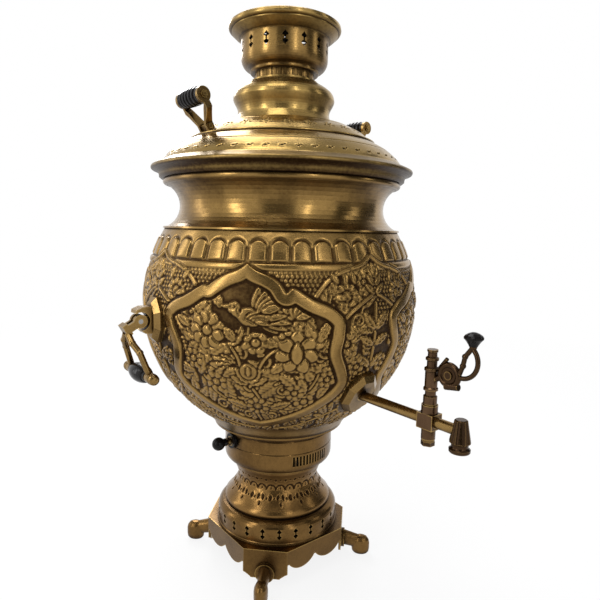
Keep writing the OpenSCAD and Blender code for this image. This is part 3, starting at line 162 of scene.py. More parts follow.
class Relief:
    """Heights in millimetres. x runs round the wall, y up it, both in millimetres."""

    def __init__(self, x, y):
        self.x, self.y = np.asarray(x, float), np.asarray(y, float)
        self.h = np.zeros((len(y), len(x)))

    def window(self, cx, cy, reach):
        i0, i1 = np.searchsorted(self.y, [cy - reach, cy + reach])
        j0, j1 = np.searchsorted(self.x, [cx - reach, cx + reach])
        if i0 >= i1 or j0 >= j1:
            return None
        part = (slice(i0, i1), slice(j0, j1))
        return part, *np.meshgrid(self.x[j0:j1], self.y[i0:i1])

    def lay(self, part, inside, height, moat=MOAT, edge=0.8, cut=FLOOR):
        """Lays a form on the wall, with a moat cut round it. inside is the distance in from its edge."""
        h = self.h[part]
        if moat:
            h = np.where(inside > -moat, np.minimum(h, cut), h)
        rise = smoothstep(0, edge, inside)
        self.h[part] = np.where(inside > 0, FLOOR + (height - FLOOR) * rise, h)

    def ball(self, x, y, r, height=0.9, moat=MOAT, dimple=0.0):
        found = self.window(x, y, r + 2)
        if found:
            part, X, Y = found
            d = np.hypot(X - x, Y - y)
            dome = height * np.sqrt(np.clip(1 - (d / r) ** 2, 0.05, 1))
            dome = dome - dimple * np.exp(-(d / (0.4 * r)) ** 2)
            self.lay(part, r - d, dome, moat)

    def ring(self, x, y, r, width, height=0.9, moat=MOAT):
        found = self.window(x, y, r + width + 2)
        if found:
            part, X, Y = found
            d = np.abs(np.hypot(X - x, Y - y) - r)
            self.lay(part, width / 2 - d, height * np.sqrt(np.clip(1 - (2 * d / width) ** 2, 0.1, 1)), moat)

    def leaf(self, x, y, angle, length, width, height=1.0, teeth=0, veins=True, moat=MOAT, full=0.8,
             bend=0.0, blunt=0.85, cut=FLOOR):
        """A leaf from its stalk at (x, y) along angle in degrees, counted from +x."""
        found = self.window(x, y, length + 3)
        if not found:
            return
        part, X, Y = found
        a = math.radians(angle)
        u = ((X - x) * math.cos(a) + (Y - y) * math.sin(a)) / length
        v = -(X - x) * math.sin(a) + (Y - y) * math.cos(a) - bend * np.sin(np.pi * np.clip(u, 0, 1))
        t = np.clip(u, 0, 1)
        half = width / 2 * np.sin(np.pi * t ** full) ** blunt
        if teeth:
            half = half * (0.84 + 0.3 * np.abs(np.sin(np.pi * teeth * t)))
        past = np.maximum(np.abs(u - 0.5) - 0.5, 0) * length
        inside = np.where((u > 0) & (u < 1), half - np.abs(v), -np.hypot(past, v))
        k = np.abs(v) / np.maximum(half, 0.01)
        body = height * (0.3 + 0.7 * np.sqrt(np.clip(1 - k ** 2, 0, 1)))
        if veins:
            body = height * (0.3 + 0.7 * np.sqrt(np.clip(1 - (1.7 * k - 0.7) ** 2, 0, 1)))
            body = body - 0.55 * np.exp(-(v / 0.7) ** 2)
            body = body + 0.24 * np.cos(TAU * (u * length - np.abs(v) * 0.9) / 4.2) * np.minimum(half / 4, 1)
        self.lay(part, inside, body, moat, cut=cut)

    def stroke(self, points, width, height=0.9, taper=0.0, moat=MOAT, flat=0.0):
        """A rounded rib along a line of points. taper narrows it to its end, flat squares its top."""
        p = np.asarray(points, float)
        centre = (p.min(0) + p.max(0)) / 2
        reach = np.abs(p - centre).max() + width + 3
        found = self.window(centre[0], centre[1], reach)
        if not found:
            return
        part, X, Y = found
        near = np.full(X.shape, 1e9)
        along = np.zeros(X.shape)
        n = len(p) - 1
        for i, (a, b) in enumerate(zip(p[:-1], p[1:])):
            d = b - a
            t = np.clip(((X - a[0]) * d[0] + (Y - a[1]) * d[1]) / max(d @ d, 1e-9), 0, 1)
            dist = np.hypot(X - a[0] - t * d[0], Y - a[1] - t * d[1])
            closer = dist < near
            near = np.where(closer, dist, near)
            along = np.where(closer, (i + t) / n, along)
        half = width / 2 * (1 - taper * along)
        k = near / np.maximum(half, 0.05)
        top = height * (flat + (1 - flat) * np.sqrt(np.clip(1 - k ** 2, 0, 1)))
        self.lay(part, half - near, top, moat, edge=0.7)

    def curl(self, x, y, r, angle, turns=1.25, hand=1, width=2.4, height=0.9):
        """A scroll that winds in to (x, y) from its mouth at angle."""
        n = int(18 * turns) + 6
        t = np.linspace(0, 1, n)
        a = math.radians(angle) + hand * TAU * turns * t
        rad = r * (1 - 0.8 * t)
        self.stroke(np.c_[x + rad * np.cos(a), y + rad * np.sin(a)], width, height, taper=0.35)
        self.ball(x, y, width * 0.62, height)

    def daisy(self, x, y, r, petals, height=1.0, core=0.36, turn=0.0):
        """A flower with one row of round petals and a domed middle."""
        base = core * r
        span = r - base
        wide = 2 * r * math.sin(math.pi / petals) * 0.98
        for i in range(petals):
            a = turn + 360 * (i + 0.5) / petals
            rad = math.radians(a)
            self.leaf(x + base * math.cos(rad), y + base * math.sin(rad), a, span * 1.06, wide * 1.02,
                      height * 0.93, veins=False, moat=0.6, full=1.2, blunt=0.6)
        self.ball(x, y, core * r, height * 1.15, moat=0.8)

    def thicket(self, allowed, seed, pitch=9.0, size=22.0, height=0.95):
        """Covers the allowed ground with leaves that overlap and follow one flow, and a few small flowers."""
        rng = np.random.default_rng(seed)
        kept = self.h.copy()
        spots = [(x + rng.uniform(-0.3, 0.3) * pitch, y + rng.uniform(-0.3, 0.3) * pitch)
                 for row, y in enumerate(np.arange(self.y[0], self.y[-1], pitch * 0.87))
                 for x in np.arange(self.x[0] + row % 2 * pitch / 2, self.x[-1], pitch)]
        for k in rng.permutation(len(spots)):
            x, y = spots[k]
            i, j = np.searchsorted(self.y, y), np.searchsorted(self.x, x)
            if not (0 <= i < len(self.y) and 0 <= j < len(self.x) and allowed[i, j]):
                continue
            a = 90 + 75 * math.sin(0.05 * x + 1.4 * math.sin(0.045 * y + seed))
            a = a + 45 * math.sin(0.06 * y + seed)
            a += rng.uniform(-30, 30) + (180 if rng.random() < 0.35 else 0)
            rad = math.radians(a)
            length = size * rng.uniform(0.7, 1.2)
            if rng.random() < 0.1:
                self.daisy(x, y, 0.36 * size, 7, height * 1.1, core=0.4, turn=a)
            elif rng.random() < 0.12:
                self.curl(x, y, 0.26 * size, a, 1.2, rng.choice((-1, 1)), 0.12 * size, height)
            else:
                self.leaf(x - 0.45 * length * math.cos(rad), y - 0.45 * length * math.sin(rad), a, length,
                          length * rng.uniform(0.36, 0.5), height * rng.uniform(0.7, 1.15),
                          teeth=int(length / 4.6) if rng.random() < 0.5 else 0, moat=1.1, cut=-0.15,
                          bend=rng.uniform(-0.2, 0.2) * length)
        self.h = np.where(allowed, self.h, kept)

    def punched(self, inside, pitch=4.2, r=1.75):
        """Ground of small round pebbles where the mask holds."""
        X, Y = np.meshgrid(self.x, self.y)
        rows = np.round(Y / (pitch * 0.866))
        shift = (rows % 2) * pitch / 2 + 0.4 * np.sin(rows * 2.1)
        dx = X - shift - np.round((X - shift) / pitch) * pitch
        dy = Y - rows * pitch * 0.866
        d = np.hypot(dx, dy)
        marks = FLOOR - 0.1 + 1.15 * np.sqrt(np.clip(1 - (d / r) ** 2, 0, 1))
        self.h = np.where(inside, marks, self.h)


def inside_distance(X, Y, outline):
    """Distance in from a closed outline, negative outside."""
    near = np.full(X.shape, 1e9)
    odd = np.zeros(X.shape, bool)
    p = np.asarray(outline, float)
    for a, b in zip(p, np.roll(p, -1, 0)):
        d = b - a
        t = np.clip(((X - a[0]) * d[0] + (Y - a[1]) * d[1]) / max(d @ d, 1e-9), 0, 1)
        near = np.minimum(near, np.hypot(X - a[0] - t * d[0], Y - a[1] - t * d[1]))
        if a[1] != b[1]:
            crosses = (a[1] > Y) != (b[1] > Y)
            odd ^= crosses & (X < a[0] + (Y - a[1]) * d[0] / d[1])
    return np.where(odd, near, -near)


def blurred(h, rounds):
    """Softens heights that close on themselves round the wall."""
    for _ in range(rounds):
        h = (np.roll(h, 1, 1) + 2 * h + np.roll(h, -1, 1)) / 4
        up = np.vstack([h[:1], h[:-1]])
        down = np.vstack([h[1:], h[-1:]])
        h = (up + 2 * h + down) / 4
    return h


# ---------- turned shells rebuilt from a node's own section ----------
def section(node, outside=None):
    """The node's closed section in the half plane y = 0, as (r, z) points in mm.

    Where holes part a thin wall, outside(r, z) tells its two faces apart and the wall is made whole."""
    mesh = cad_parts[node].data
    co = np.empty(len(mesh.vertices) * 3, np.float32)
    mesh.vertices.foreach_get("co", co)
    co = co.reshape(-1, 3) / MM
    edges = np.empty(len(mesh.edges) * 2, np.int32)
    mesh.edges.foreach_get("vertices", edges)
    edges = edges.reshape(-1, 2)
    on = (np.abs(co[:, 1]) < 2e-3) & (co[:, 0] > 0)
    keys = [tuple(np.round(c[[0, 2]], 2)) for c in co]
    if outside:
        points = sorted({keys[i] for i in np.flatnonzero(on)}, key=lambda k: k[1])
        outer = [k for k in points if outside(*k)]
        return np.array(outer + [k for k in points if not outside(*k)][::-1])
    nexts = {}
    for a, b in edges[on[edges].all(1)]:
        if keys[a] != keys[b]:
            nexts.setdefault(keys[a], set()).add(keys[b])
            nexts.setdefault(keys[b], set()).add(keys[a])
    start = max(nexts)
    loop, here, before = [start], max(nexts[start], key=lambda k: k[1]), start
    while here != start:
        loop.append(here)
        here, before = next(k for k in nexts[here] if k != before), here
    return np.array(loop)


def dense_section(loop, fine, grain):
    """The section with points every grain mm where fine says so, and its own corners elsewhere."""
    out = []
    for a, b in zip(loop, np.roll(loop, -1, 0)):
        mid = (a + b) / 2
        steps = max(1, int(math.ceil(np.hypot(*(b - a)) / (grain if fine(mid) else 6.0))))
        out += [a + (b - a) * i / steps for i in range(steps)]
    return np.array(out)


def relief_shell(name, node, body, fine, sectors, columns, grain, heights, scale=1.0, outside=None,
                 seats=None, sunk=(-0.5, 0.35), painted_light_offset=None, soften=0, facing=None):
    """Rebuilds a turned node as a shell whose fine stretch carries a relief.

    heights(x_angles, rows) gives the relief of one sector, in mm; rows are (r, z, distance along)."""
    loop = dense_section(section(node, outside), fine, grain)
    after = np.roll(loop, -1, 0) - np.roll(loop, 1, 0)
    length = np.maximum(np.hypot(after[:, 0], after[:, 1]), 1e-6)
    normal = np.c_[after[:, 1], -after[:, 0]] / length[:, None]
    area = np.sum(loop[:, 0] * np.roll(loop[:, 1], -1) - np.roll(loop[:, 0], -1) * loop[:, 1])
    if area < 0:
        normal = -normal
    mask = np.array([fine(p) for p in loop])
    if facing:
        mask &= normal @ np.array(facing) > 0.25
    rows = np.flatnonzero(mask)
    order = rows[np.argsort(loop[rows, 1])]
    path = loop[order]
    step = np.r_[0, np.cumsum(np.hypot(*np.diff(path, axis=0).T))]
    angles = (np.arange(columns) + 0.5) / columns * TAU / sectors
    n = columns * sectors
    turn = (np.arange(n) + 0.5) / n * TAU
    relief = heights(angles, path[:, 0], path[:, 1], step)
    full = blurred(np.tile(relief, (1, sectors)), soften)
    if seats:
        full = full * seats(turn, path[:, 1])
    # darkness of the relief: patina and painted shade in the sunk ground, more painted shade in the dips,
    # lighter on the crests
    soft = blurred(full, 10)
    painted_dip_shade = np.clip((soft - full) * 0.9, -0.3, 0.45)
    patina_and_painted_light = np.clip(0.7 * (1 - smoothstep(*sunk, full)) + painted_dip_shade, -0.3, 1.0)
    height = np.zeros((len(loop), n))
    # deep is stored on the wall: the relief's patina and painted shade, plus each row's painted light offset
    deep = np.zeros((len(loop), n))
    # painted light by row: a positive offset paints shade, a negative one paints a highlight
    if painted_light_offset:
        deep += np.array([painted_light_offset(*p) for p in loop])[:, None]
    height[order] = full * scale
    deep[order] += patina_and_painted_light
    r = loop[:, :1] + normal[:, :1] * height
    z = loop[:, 1:] + normal[:, 1:] * height
    verts = np.stack([r * np.sin(turn), -r * np.cos(turn), z], -1).reshape(-1, 3) * MM
    i = np.arange(len(loop))[:, None] * n
    j = np.arange(n)[None]
    i2, j2 = np.roll(i, -1, 0), np.roll(j, -1, 1)
    quads = np.stack([i + j, i + j2, i2 + j2, i2 + j], -1).reshape(-1, 4)
    if area < 0:
        quads = quads[:, ::-1]
    obj = mesh_object(name, verts, quads)
    layer = obj.data.attributes.new("patina_and_painted_light", "FLOAT", "POINT")
    layer.data.foreach_set("value", deep.ravel().astype(np.float32))
    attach(obj, body)
    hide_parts(node)
    return obj


# ---------- the tank's embossing: heights are counted in millimetres up the wall from the girth ----------
MM_PER_RAD = 140.4  # x of the flattened wall for one radian round it
RELIEF_UNIT = 0.0014  # relief height at which the heights below stand as written
FIELD_LOW, FIELD_HIGH = -134.0, 47  # the embossed ground
FRIEZE_FOOT, FRIEZE_ARCH = 52.2, 64.0  # foot of the tongues, and spring of their round heads
TONGUE_SHARE = 0.43  # half a tongue's width, in pitches
RIB_Y, FOOT_RIB_Y = 48.0, -137.5  # ribs under the frieze and at the foot
FRAME_WIDTH = 12.0  # the polished frame of the cartouche
LIT_FRIEZE_Z = 326  # the frieze above this height in the frame gets a painted highlight
# bare patches where a piece sits: degrees round from the tap, height in the frame, half width, half height
SEATS = ((0, 214, 20, 25), (90, 279, 16.5, 23), (270, 279, 16.5, 23))


def tank_relief(angles, r, z, s):
    """One quarter of the wall, between tap, handle and back. The cartouche stands in its middle."""
    s = s - np.interp(GIRTH_Z, z, s)
    x = (angles - TAU / 8) * MM_PER_RAD
    w = Relief(x, s)
    X, Y = np.meshgrid(x, s)
    quarter = TAU / 8 * MM_PER_RAD

    # one half of the cartouche's outline, from its top point down; notch is the height of its shoulder
    def half_outline(notch):
        crest = curve_through([(0, 52), (8, 46), (19, 41.5), (28, 36), (34.5, notch)], 6)
        side = curve_through([(34.5, notch), (41, 31), (57, 21.5), (74, 14), (85, 3), (84, -12), (80.5, -26),
                              (86, -41), (91, -55), (88, -68), (76, -82), (56, -98), (28, -113),
                              (0, -123)], 6)
        return np.vstack([crest, side[1:]])

    right, left = half_outline(27), half_outline(31)
    outline = np.vstack([right, (left * [-1, 1])[-2:0:-1]])
    outline[:, 0] += lean(outline[:, 1])
    deep_in = inside_distance(X, Y, outline)

    # ground: plain under the shoulder and at the foot, leaves low on the wall, pebbles between the frames
    field = (Y > FIELD_LOW) & (Y < FIELD_HIGH)
    w.h = np.where(field, FLOOR, 0.0)
    w.thicket(field & (Y < -40) & (deep_in < 0), 23, 10.5, 21.0, 0.9)
    w.punched((Y > -4) & (Y < 45) & (deep_in < 0))

    # frieze of tongues and the rib under them
    tongues = bpy.context.scene.samovar_sizes.tongues // 4
    pitch = 2 * quarter / tongues
    for i in range(-1, tongues + 1):
        cx = -quarter + (i + 0.5) * pitch
        u = (X - cx) / (pitch * TONGUE_SHARE)
        arch_y = FRIEZE_ARCH + (pitch * TONGUE_SHARE) * 0.95 * np.sqrt(np.clip(1 - u ** 2, 0, 1))
        inside = np.minimum((1 - np.abs(u)) * pitch * TONGUE_SHARE, np.minimum(arch_y - Y, Y - FRIEZE_FOOT))
        near = (np.abs(X - cx) < pitch * 0.505) & (Y > 51.2) & (Y < 75.6)
        rise = smoothstep(0, 1.5, inside)
        tongue = -0.7 + (0.75 + 0.85 * np.sqrt(np.clip(1 - (u * 0.9) ** 2, 0, 1))) * rise
        edge = smoothstep(-2.0, -1.2, inside)
        w.h = np.where(near, np.where(inside > 0, tongue, -0.7 * edge), w.h)
    for y, wide, height, flat in ((RIB_Y, 6.4, 1.05, 0.35), (FOOT_RIB_Y, 3.2, 0.7, 0.3)):
        w.stroke([(-quarter - 9, y), (quarter + 9, y)], wide, height, flat=flat)

    # panels over the tap, the back and the handles: arch and roof lines, at both ends of the quarter
    arch = curve_through([(0, 58), (12, 50.5), (35, 44), (50, 34.5), (63, 18)], 6)
    roof = curve_through([(0, 25), (14, 17.5), (28, 8), (42, -5)], 6)
    for sign in (-1, 1):
        def at(px, py):
            return sign * (quarter - px), py

        def line(points):
            return [at(*q) for q in points]

        # the ground of the panel is sunk and plain under its flowers
        border = np.vstack([arch, [(70, -10), (50, -140), (-30, -140), (-30, 58)]])
        under = inside_distance(sign * quarter - sign * X, Y, border)
        under = (under > 0) & (deep_in < 0) & field
        w.h = np.where(under, FLOOR, w.h)
        w.thicket(under, 21, 10.5, 21.0, 0.9)
        w.stroke(line(arch), 4.2, 1.2, flat=0.3)
        w.stroke(line(roof), 3.6, 1.1, flat=0.3)
        w.daisy(*at(31, 23), 11.5, 10, 1.1, core=0.42)
        w.ring(*at(31, 23), 3.3, 1.3, 1.45, moat=0)
        w.leaf(*at(43, 23), 90 - sign * 100, 13, 6.5, 0.95)
        w.leaf(*at(38, 34), 90 + sign * 40, 12, 6, 0.95)
        w.leaf(*at(22, 33), 90 + sign * 12, 13, 6, 0.95)
        w.leaf(*at(20, 20), 90 + sign * 122, 12, 5.5, 0.95)
        w.stroke(line([(0, 24), (0, 44)]), 3.2, 1.1)
        for rise, lean_out, size in ((24, 50, 15), (31, 38, 14), (38, 28, 12)):
            w.leaf(*at(0.5, rise), 90 + sign * lean_out, size, 6.5, 1.05)
        w.leaf(*at(0, 40), 90, 13, 7, 1.15)
        w.leaf(*at(44, 8), 90 - sign * 170, 12, 6, 0.95)
        # below the roof: a stem in the middle, blossoms beside it
        w.stroke(line([(0, 16), (0, -132)]), 3.4, 1.1)
        for rise, lean_out, size in ((-8, 40, 22), (-22, 62, 20), (-44, 48, 20),
                                     (-62, 118, 20), (-84, 50, 20), (-104, 118, 18)):
            w.leaf(*at(0.5, rise), 90 + sign * lean_out, size, 0.42 * size, 1.1, teeth=4)
        w.daisy(*at(30, -19), 11, 8, 1.15, core=0.36)
        w.ring(*at(30, -19), 2.6, 1.2, 1.4, moat=0)
        w.daisy(*at(16, -42), 9, 7, 1.1, core=0.38)
        w.curl(*at(19, 1), 7, 90 + sign * 110, 1.2, -sign, 2.8, 1.0)
        w.curl(*at(9, -66), 7, 90 - sign * 70, 1.1, sign, 2.6, 0.95)
        for bx, by in ((41, -4), (46, -9)):
            w.ball(*at(bx, by), 3.0, 1.05, dimple=0.15)
        w.leaf(*at(33, -36), -90 - sign * 10, 18, 8.5, 1.0, teeth=5)
        # a garland under the frame, in towards the foot of the cartouche
        garland = [(0, -84), (12, -92), (30, -100), (48, -111), (68, -122), (96, -128)]
        w.stroke(curve_through(line(garland), 6), 2.8, 0.95)
    cartouche(w, deep_in)

    # the broad polished frame of the cartouche
    width = FRAME_WIDTH
    across = (deep_in - width * 0.55) / (width * 0.55)
    top = 0.85 + 0.75 * np.sqrt(np.clip(1 - across ** 2, 0, 1))
    band = (deep_in > 0) & (deep_in < width)
    rise = smoothstep(0, 1.4, deep_in) * smoothstep(0, 1.0, width - deep_in)
    w.h = np.where((deep_in > -1.3) & (deep_in <= 0), np.minimum(w.h, FLOOR - 0.1), w.h)
    w.h = np.where((deep_in >= width) & (deep_in < width + 1.4), np.minimum(w.h, FLOOR - 0.25), w.h)
    w.h = np.where(band, FLOOR + (top - FLOOR) * rise, w.h)

    # the hand of the hammer, the same each time
    wave = np.sin(X * 0.21 + 1.7 * np.sin(Y * 0.13)) * np.sin(Y * 0.17 + 1.3 * np.sin(X * 0.11 + 2))
    w.h = w.h + 0.07 * wave
    # the wall runs out plain to the shoulder and to the foot ring
    return w.h * smoothstep(-141, -137, Y) * smoothstep(0, 3, s.max() - Y)


def lean(y):
    """How far the cartouche leans to the left at height y."""
    return -2.4 - 5.6 * smoothstep(-45, 10, np.asarray(y, float))


def tank_seats(turn, z):
    """0 where the tap's flange and the handle brackets sit on the wall, 1 elsewhere."""
    keep = np.ones((len(z), len(turn)))
    for angle, height, wide, tall in SEATS:
        off = np.abs((np.degrees(turn) - angle + 180) % 360 - 180)
        reach = np.radians(off) * wall_radius(height)
        d = np.hypot(reach[None] / wide, (z[:, None] - height) / tall)
        keep *= smoothstep(0.86, 1.02, d)
    return keep


def cartouche(w, deep_in):
    """A bird over large blossoms on a forked stem, among leaves that overlap."""
    w.h = np.where(deep_in > 0, FLOOR, w.h)
    X, Y = np.meshgrid(w.x, w.y)
    w.thicket((deep_in > 11.0) & (np.hypot((X + 4) / 34, (Y - 12) / 20) > 1), 5, 13.5, 29.0)
    dx = float(lean(-10))

    # stalk that forks from the foot of the picture, and its side shoots
    for points, wide in (
            ([(0, -106), (-3, -90), (2, -74), (dx, -58)], 3.8),
            ([(dx, -60), (dx - 6, -44), (dx - 9, -30), (dx - 16, -18)], 3.2),
            ([(dx, -60), (dx + 8, -48), (dx + 12, -36), (dx + 22, -24), (34, -17)], 3.4),
            ([(-2, -88), (-16, -84), (-32, -78), (-46, -66), (-52, -52)], 3.0),
            ([(1, -84), (16, -82), (34, -76), (50, -62), (57, -46)], 3.0)):
        w.stroke(curve_through(points, 7), wide, 1.25, taper=0.25, moat=1.1)
    for x, y, r, angle, hand in (
            (24, -62, 8.5, 140, -1), (-13, -98, 6, 60, 1), (14, -99, 6, 120, -1), (62, -24, 7, 200, 1)):
        w.curl(x, y, r, angle, 1.3, hand, 3.0, 1.15)
    # large leaves: a fan to the left of the bud, pairs beside the blossom
    for angle, size in ((138, 20), (156, 26), (174, 28), (192, 24), (210, 18)):
        w.leaf(dx - 10, -42, angle, size, 9.5, 1.15, teeth=5, moat=1.1)
    for x, y, angle, size, wide in (
            (14, -44, 40, 18, 9), (22, -46, -40, 22, 11), (54, -16, 62, 24, 9), (60, -20, 20, 20, 9),
            (60, -40, -30, 20, 10), (-52, -20, 215, 18, 9), (-60, -6, 150, 18, 9), (-28, 12, 125, 22, 9),
            (12, -86, 20, 24, 10), (-12, -86, 160, 24, 10), (40, -50, -70, 20, 10), (64, 4, 80, 13, 8),
            (dx - 14, -20, 55, 20, 10), (dx - 10, -16, 130, 16, 9)):
        w.leaf(x, y, angle, size, wide, 1.15, teeth=5, moat=1.1)
    # bud in the fork, with its husks
    for angle, size, wide in ((160, 19, 10), (20, 19, 10), (128, 20, 9), (52, 20, 9)):
        w.leaf(dx, -56, angle, size, wide, 1.15, teeth=4)
    w.ball(dx, -44, 8.2, 1.25)
    w.ring(dx, -44, 5.2, 1.4, 1.55, moat=0)
    w.leaf(dx, -48.5, 90, 10, 5.2, 1.65, veins=False, blunt=0.6)
    # large daisy on the left, a full blossom on the right, smaller flowers round them
    w.daisy(-60, -36, 10, 8, 1.1, core=0.36)
    w.daisy(-40, -58, 11, 8, 1.15, core=0.4)
    w.ring(-40, -58, 2.9, 1.2, 1.5, moat=0)
    w.daisy(36, -66, 9.5, 7, 1.1, core=0.36)
    w.daisy(66, -52, 9, 7, 1.1, core=0.36)
    w.daisy(-1, -84, 11.5, 9, 1.25, core=0.42)
    w.ring(-1, -84, 2.9, 1.2, 1.5, moat=0)
    w.daisy(-42, -8, 16, 9, 1.45, core=0.32)
    for angle, size in ((90, 20), (38, 19), (-14, 19), (-66, 20), (-118, 19), (-170, 19), (142, 19)):
        w.leaf(36, -25, angle, size, 12.5, 1.3, veins=False, full=1.5, blunt=0.55, moat=0.9)
    w.leaf(36, -35, 90, 20, 11, 1.75, veins=False, blunt=0.6, moat=1.1)
    for x, y in ((18, -6), (23, -10), (28, -7), (22, -2)):
        w.ball(x, y, 3.2, 1.15, moat=0.6, dimple=0.12)
    # a fan of feathers beside the bird, and the bird
    for i in range(6):
        size = 20 if i in (2, 3) else 18
        w.leaf(32 + 0.5 * i, 3 + 0.4 * i, 150 - 26 * i, size, 7.2, 1.1 + 0.05 * i, moat=0.9)
    bird(w, -9.5, 0)


def bird(w, dx, dy):
    """A small bird with raised wings, its head to the left."""
    for i, (angle, size) in enumerate(((-34, 22), (-20, 28), (-6, 30), (8, 26))):
        w.leaf(dx + 12, dy + 4, angle, size, 7, 1.0 + 0.06 * i, moat=0.9)
    for i in range(5):
        w.leaf(dx + 9 + 1.6 * i, dy + 9 + 0.2 * i, 80 - 15 * i, 25 - 1.4 * i, 8, 1.05 + 0.08 * i, moat=0.8)
    w.leaf(dx + 17, dy + 1, 160, 27, 16, 1.6, moat=1.2, full=0.9, veins=False)
    for i in range(4):
        w.leaf(dx + 2 + 2.6 * i, dy + 4.5 - 0.8 * i, 28 - 13 * i, 15, 5, 1.85, moat=0.5, veins=False)
    w.ball(dx - 8, dy + 12.5, 5.8, 1.8, moat=1.0)
    w.leaf(dx - 4, dy + 5, 118, 12, 8, 1.7, veins=False, moat=0)
    w.leaf(dx - 11.5, dy + 13.5, 176, 8.5, 4.4, 1.5, veins=False, moat=0.7)
    w.ring(dx - 8.8, dy + 13.6, 1.7, 0.9, 2.1, moat=0)
    w.stroke([(dx - 1, dy - 3), (dx - 4, dy - 9)], 1.7, 1.2)
    w.stroke([(dx + 5, dy - 3), (dx + 4, dy - 10)], 1.7, 1.2)


# ---------- the lid's and the bell's engraving: heights in the frame, in millimetres ----------
DROPS_PER_SECTOR = 2
LID_GRAVEN_R = (58, 121)  # radii between which the lid is engraved
LID_GRAVEN_Z = 430.5  # height above which it is
SHADED_RIM_Z = 429  # the rim below this gets painted shade
LID_DROP_Z, LID_SPRIG_Z, LID_RIDGE_Z = 432.9, 460.5, 451.6
LID_LINES_Z = (442.5, 466.6)
BELL_GRAVEN_Z = (71.0, 106.5)
BELL_SCALLOP_Z, BELL_ROW_Z, BELL_DROP_Z = 92.5, 101.0, 82.5


def flat_row(angles, r, z, s, height):
    """One sector laid flat at a height: x of its points, the row's way up the wall, and its width."""
    row = float(np.interp(height, z, s))
    radius = float(np.interp(height, z, r))
    return np.meshgrid(angles * radius, s)[0], row, (angles[-1] + angles[0]) * radius


def run_out(s):
    """1 on the engraved stretch, falling to 0 at both its ends."""
    return (smoothstep(0, 2, s) * smoothstep(0, 2, s.max() - s))[:, None]


def punch(h, X, Y, x, y, rx, ry, tilt=0.0, depth=0.6):
    a = math.radians(tilt)
    u = ((X - x) * math.cos(a) + (Y - y) * math.sin(a)) / rx
    v = (-(X - x) * math.sin(a) + (Y - y) * math.cos(a)) / ry
    k = np.hypot(u, v)
    h -= depth * (1 - smoothstep(0.55, 1.15, k))
    h += 0.16 * depth * np.exp(-((k - 1.45) / 0.3) ** 2)


def lid_relief(angles, r, z, s):
    """One sector of the lid's slopes: a row of punched drops below, small sprigs above, and crisp edges."""
    h = np.zeros((len(s), len(angles)))
    Y = np.meshgrid(angles, s)[1]
    X, row, wide = flat_row(angles, r, z, s, LID_DROP_Z)
    for i in range(DROPS_PER_SECTOR):
        x = wide * (i + 0.5) / DROPS_PER_SECTOR
        punch(h, X, Y, x - 0.6, row, 2.5, 1.9, 24, 1.5)
        punch(h, X, Y, x + 2.4, row + 2.2, 1.0, 0.9, 0, 0.8)
    X, row, wide = flat_row(angles, r, z, s, LID_SPRIG_Z)
    mid = wide / 2
    for dx, dy, rx, ry, tilt in (
            (0, 0, 1.7, 1.0, 0), (2.9, 1.8, 1.8, 0.7, 35), (-2.9, 1.8, 1.8, 0.7, -35),
            (4.6, -1.4, 1.5, 0.7, -30), (-4.6, -1.4, 1.5, 0.7, 30), (0, 4.0, 0.9, 0.9, 0),
            (0, -3.2, 0.8, 0.8, 0)):
        punch(h, X, Y, mid + dx, row + dy, rx, ry, tilt, 0.75)
    # a turned step at the ridge and a line at the foot and the head of the slopes
    d = s - float(np.interp(LID_RIDGE_Z, z, s))
    steps = 0.5 * np.exp(-((d - 1.6) / 1.0) ** 2) - 1.15 * np.exp(-((d + 0.2) / 0.85) ** 2)
    for height in LID_LINES_Z:
        steps -= 0.4 * np.exp(-((s - float(np.interp(height, z, s))) / 0.5) ** 2)
    return (h + steps[:, None]) * run_out(s)


def bell_relief(angles, r, z, s):
    """One repeat of the bell: two scallops with a drop between, and punched drops in ones and twos."""
    h = np.zeros((len(s), len(angles)))
    Y = np.meshgrid(angles, s)[1]
    X, row, wide = flat_row(angles, r, z, s, BELL_SCALLOP_Z)
    for i in (0.25, 0.75):
        d = np.hypot((X - wide * i) / (wide * 0.235), (Y - row + 3.0) / 5.2)
        h -= 0.8 * np.exp(-((d - 1) / 0.15) ** 2) * smoothstep(-3.4, -2.6, Y - row)
        punch(h, X, Y, wide * i, row - 1.2, 0.8, 1.3, 0, 0.6)
    X, row, wide = flat_row(angles, r, z, s, BELL_ROW_Z)
    for i in (0.0, 0.5, 1.0):
        punch(h, X, Y, wide * i, row, 1.2, 1.9, 0, 0.8)
    for i in (0.25, 0.75):
        punch(h, X, Y, wide * i, row + 0.8, 0.8, 1.2, 0, 0.6)
    X, row, wide = flat_row(angles, r, z, s, BELL_DROP_Z)
    punch(h, X, Y, wide * 0.25, row, 1.9, 2.9, 0, 1.0)
    punch(h, X, Y, wide * 0.25 - 4.2, row - 0.8, 0.9, 1.5, 20, 0.6)
    punch(h, X, Y, wide * 0.25 + 4.2, row - 0.8, 0.9, 1.5, -20, 0.6)
    for side in (-1, 1):
        punch(h, X, Y, wide * 0.75 + side * 2.6, row + 0.5, 1.5, 2.8, side * 10, 1.0)
    punch(h, X, Y, wide * 0.75, row - 6.4, 1.2, 2.2, 0, 0.8)
    return h * run_out(s)


# ---------- finishes ----------
def node(tree, kind, x=0, y=0, **values):
    made = tree.nodes.new(kind)
    made.location = (x, y)
    for key, value in values.items():
        if key.startswith("in_"):
            made.inputs[int(key[3:])].default_value = value
        else:
            setattr(made, key, value)
    return made


def wire(tree, links):
    """Joins sockets. Each link is a node and its output, then a node and its input."""
    for start, output, end, entry in links:
        tree.links.new(start.outputs[output], end.inputs[entry])


def new_material(name):
    """A material with its node tree and its main shader."""
    mat = bpy.data.materials.new(name)
    mat.use_nodes = True
    return mat, mat.node_tree, mat.node_tree.nodes["Principled BSDF"]


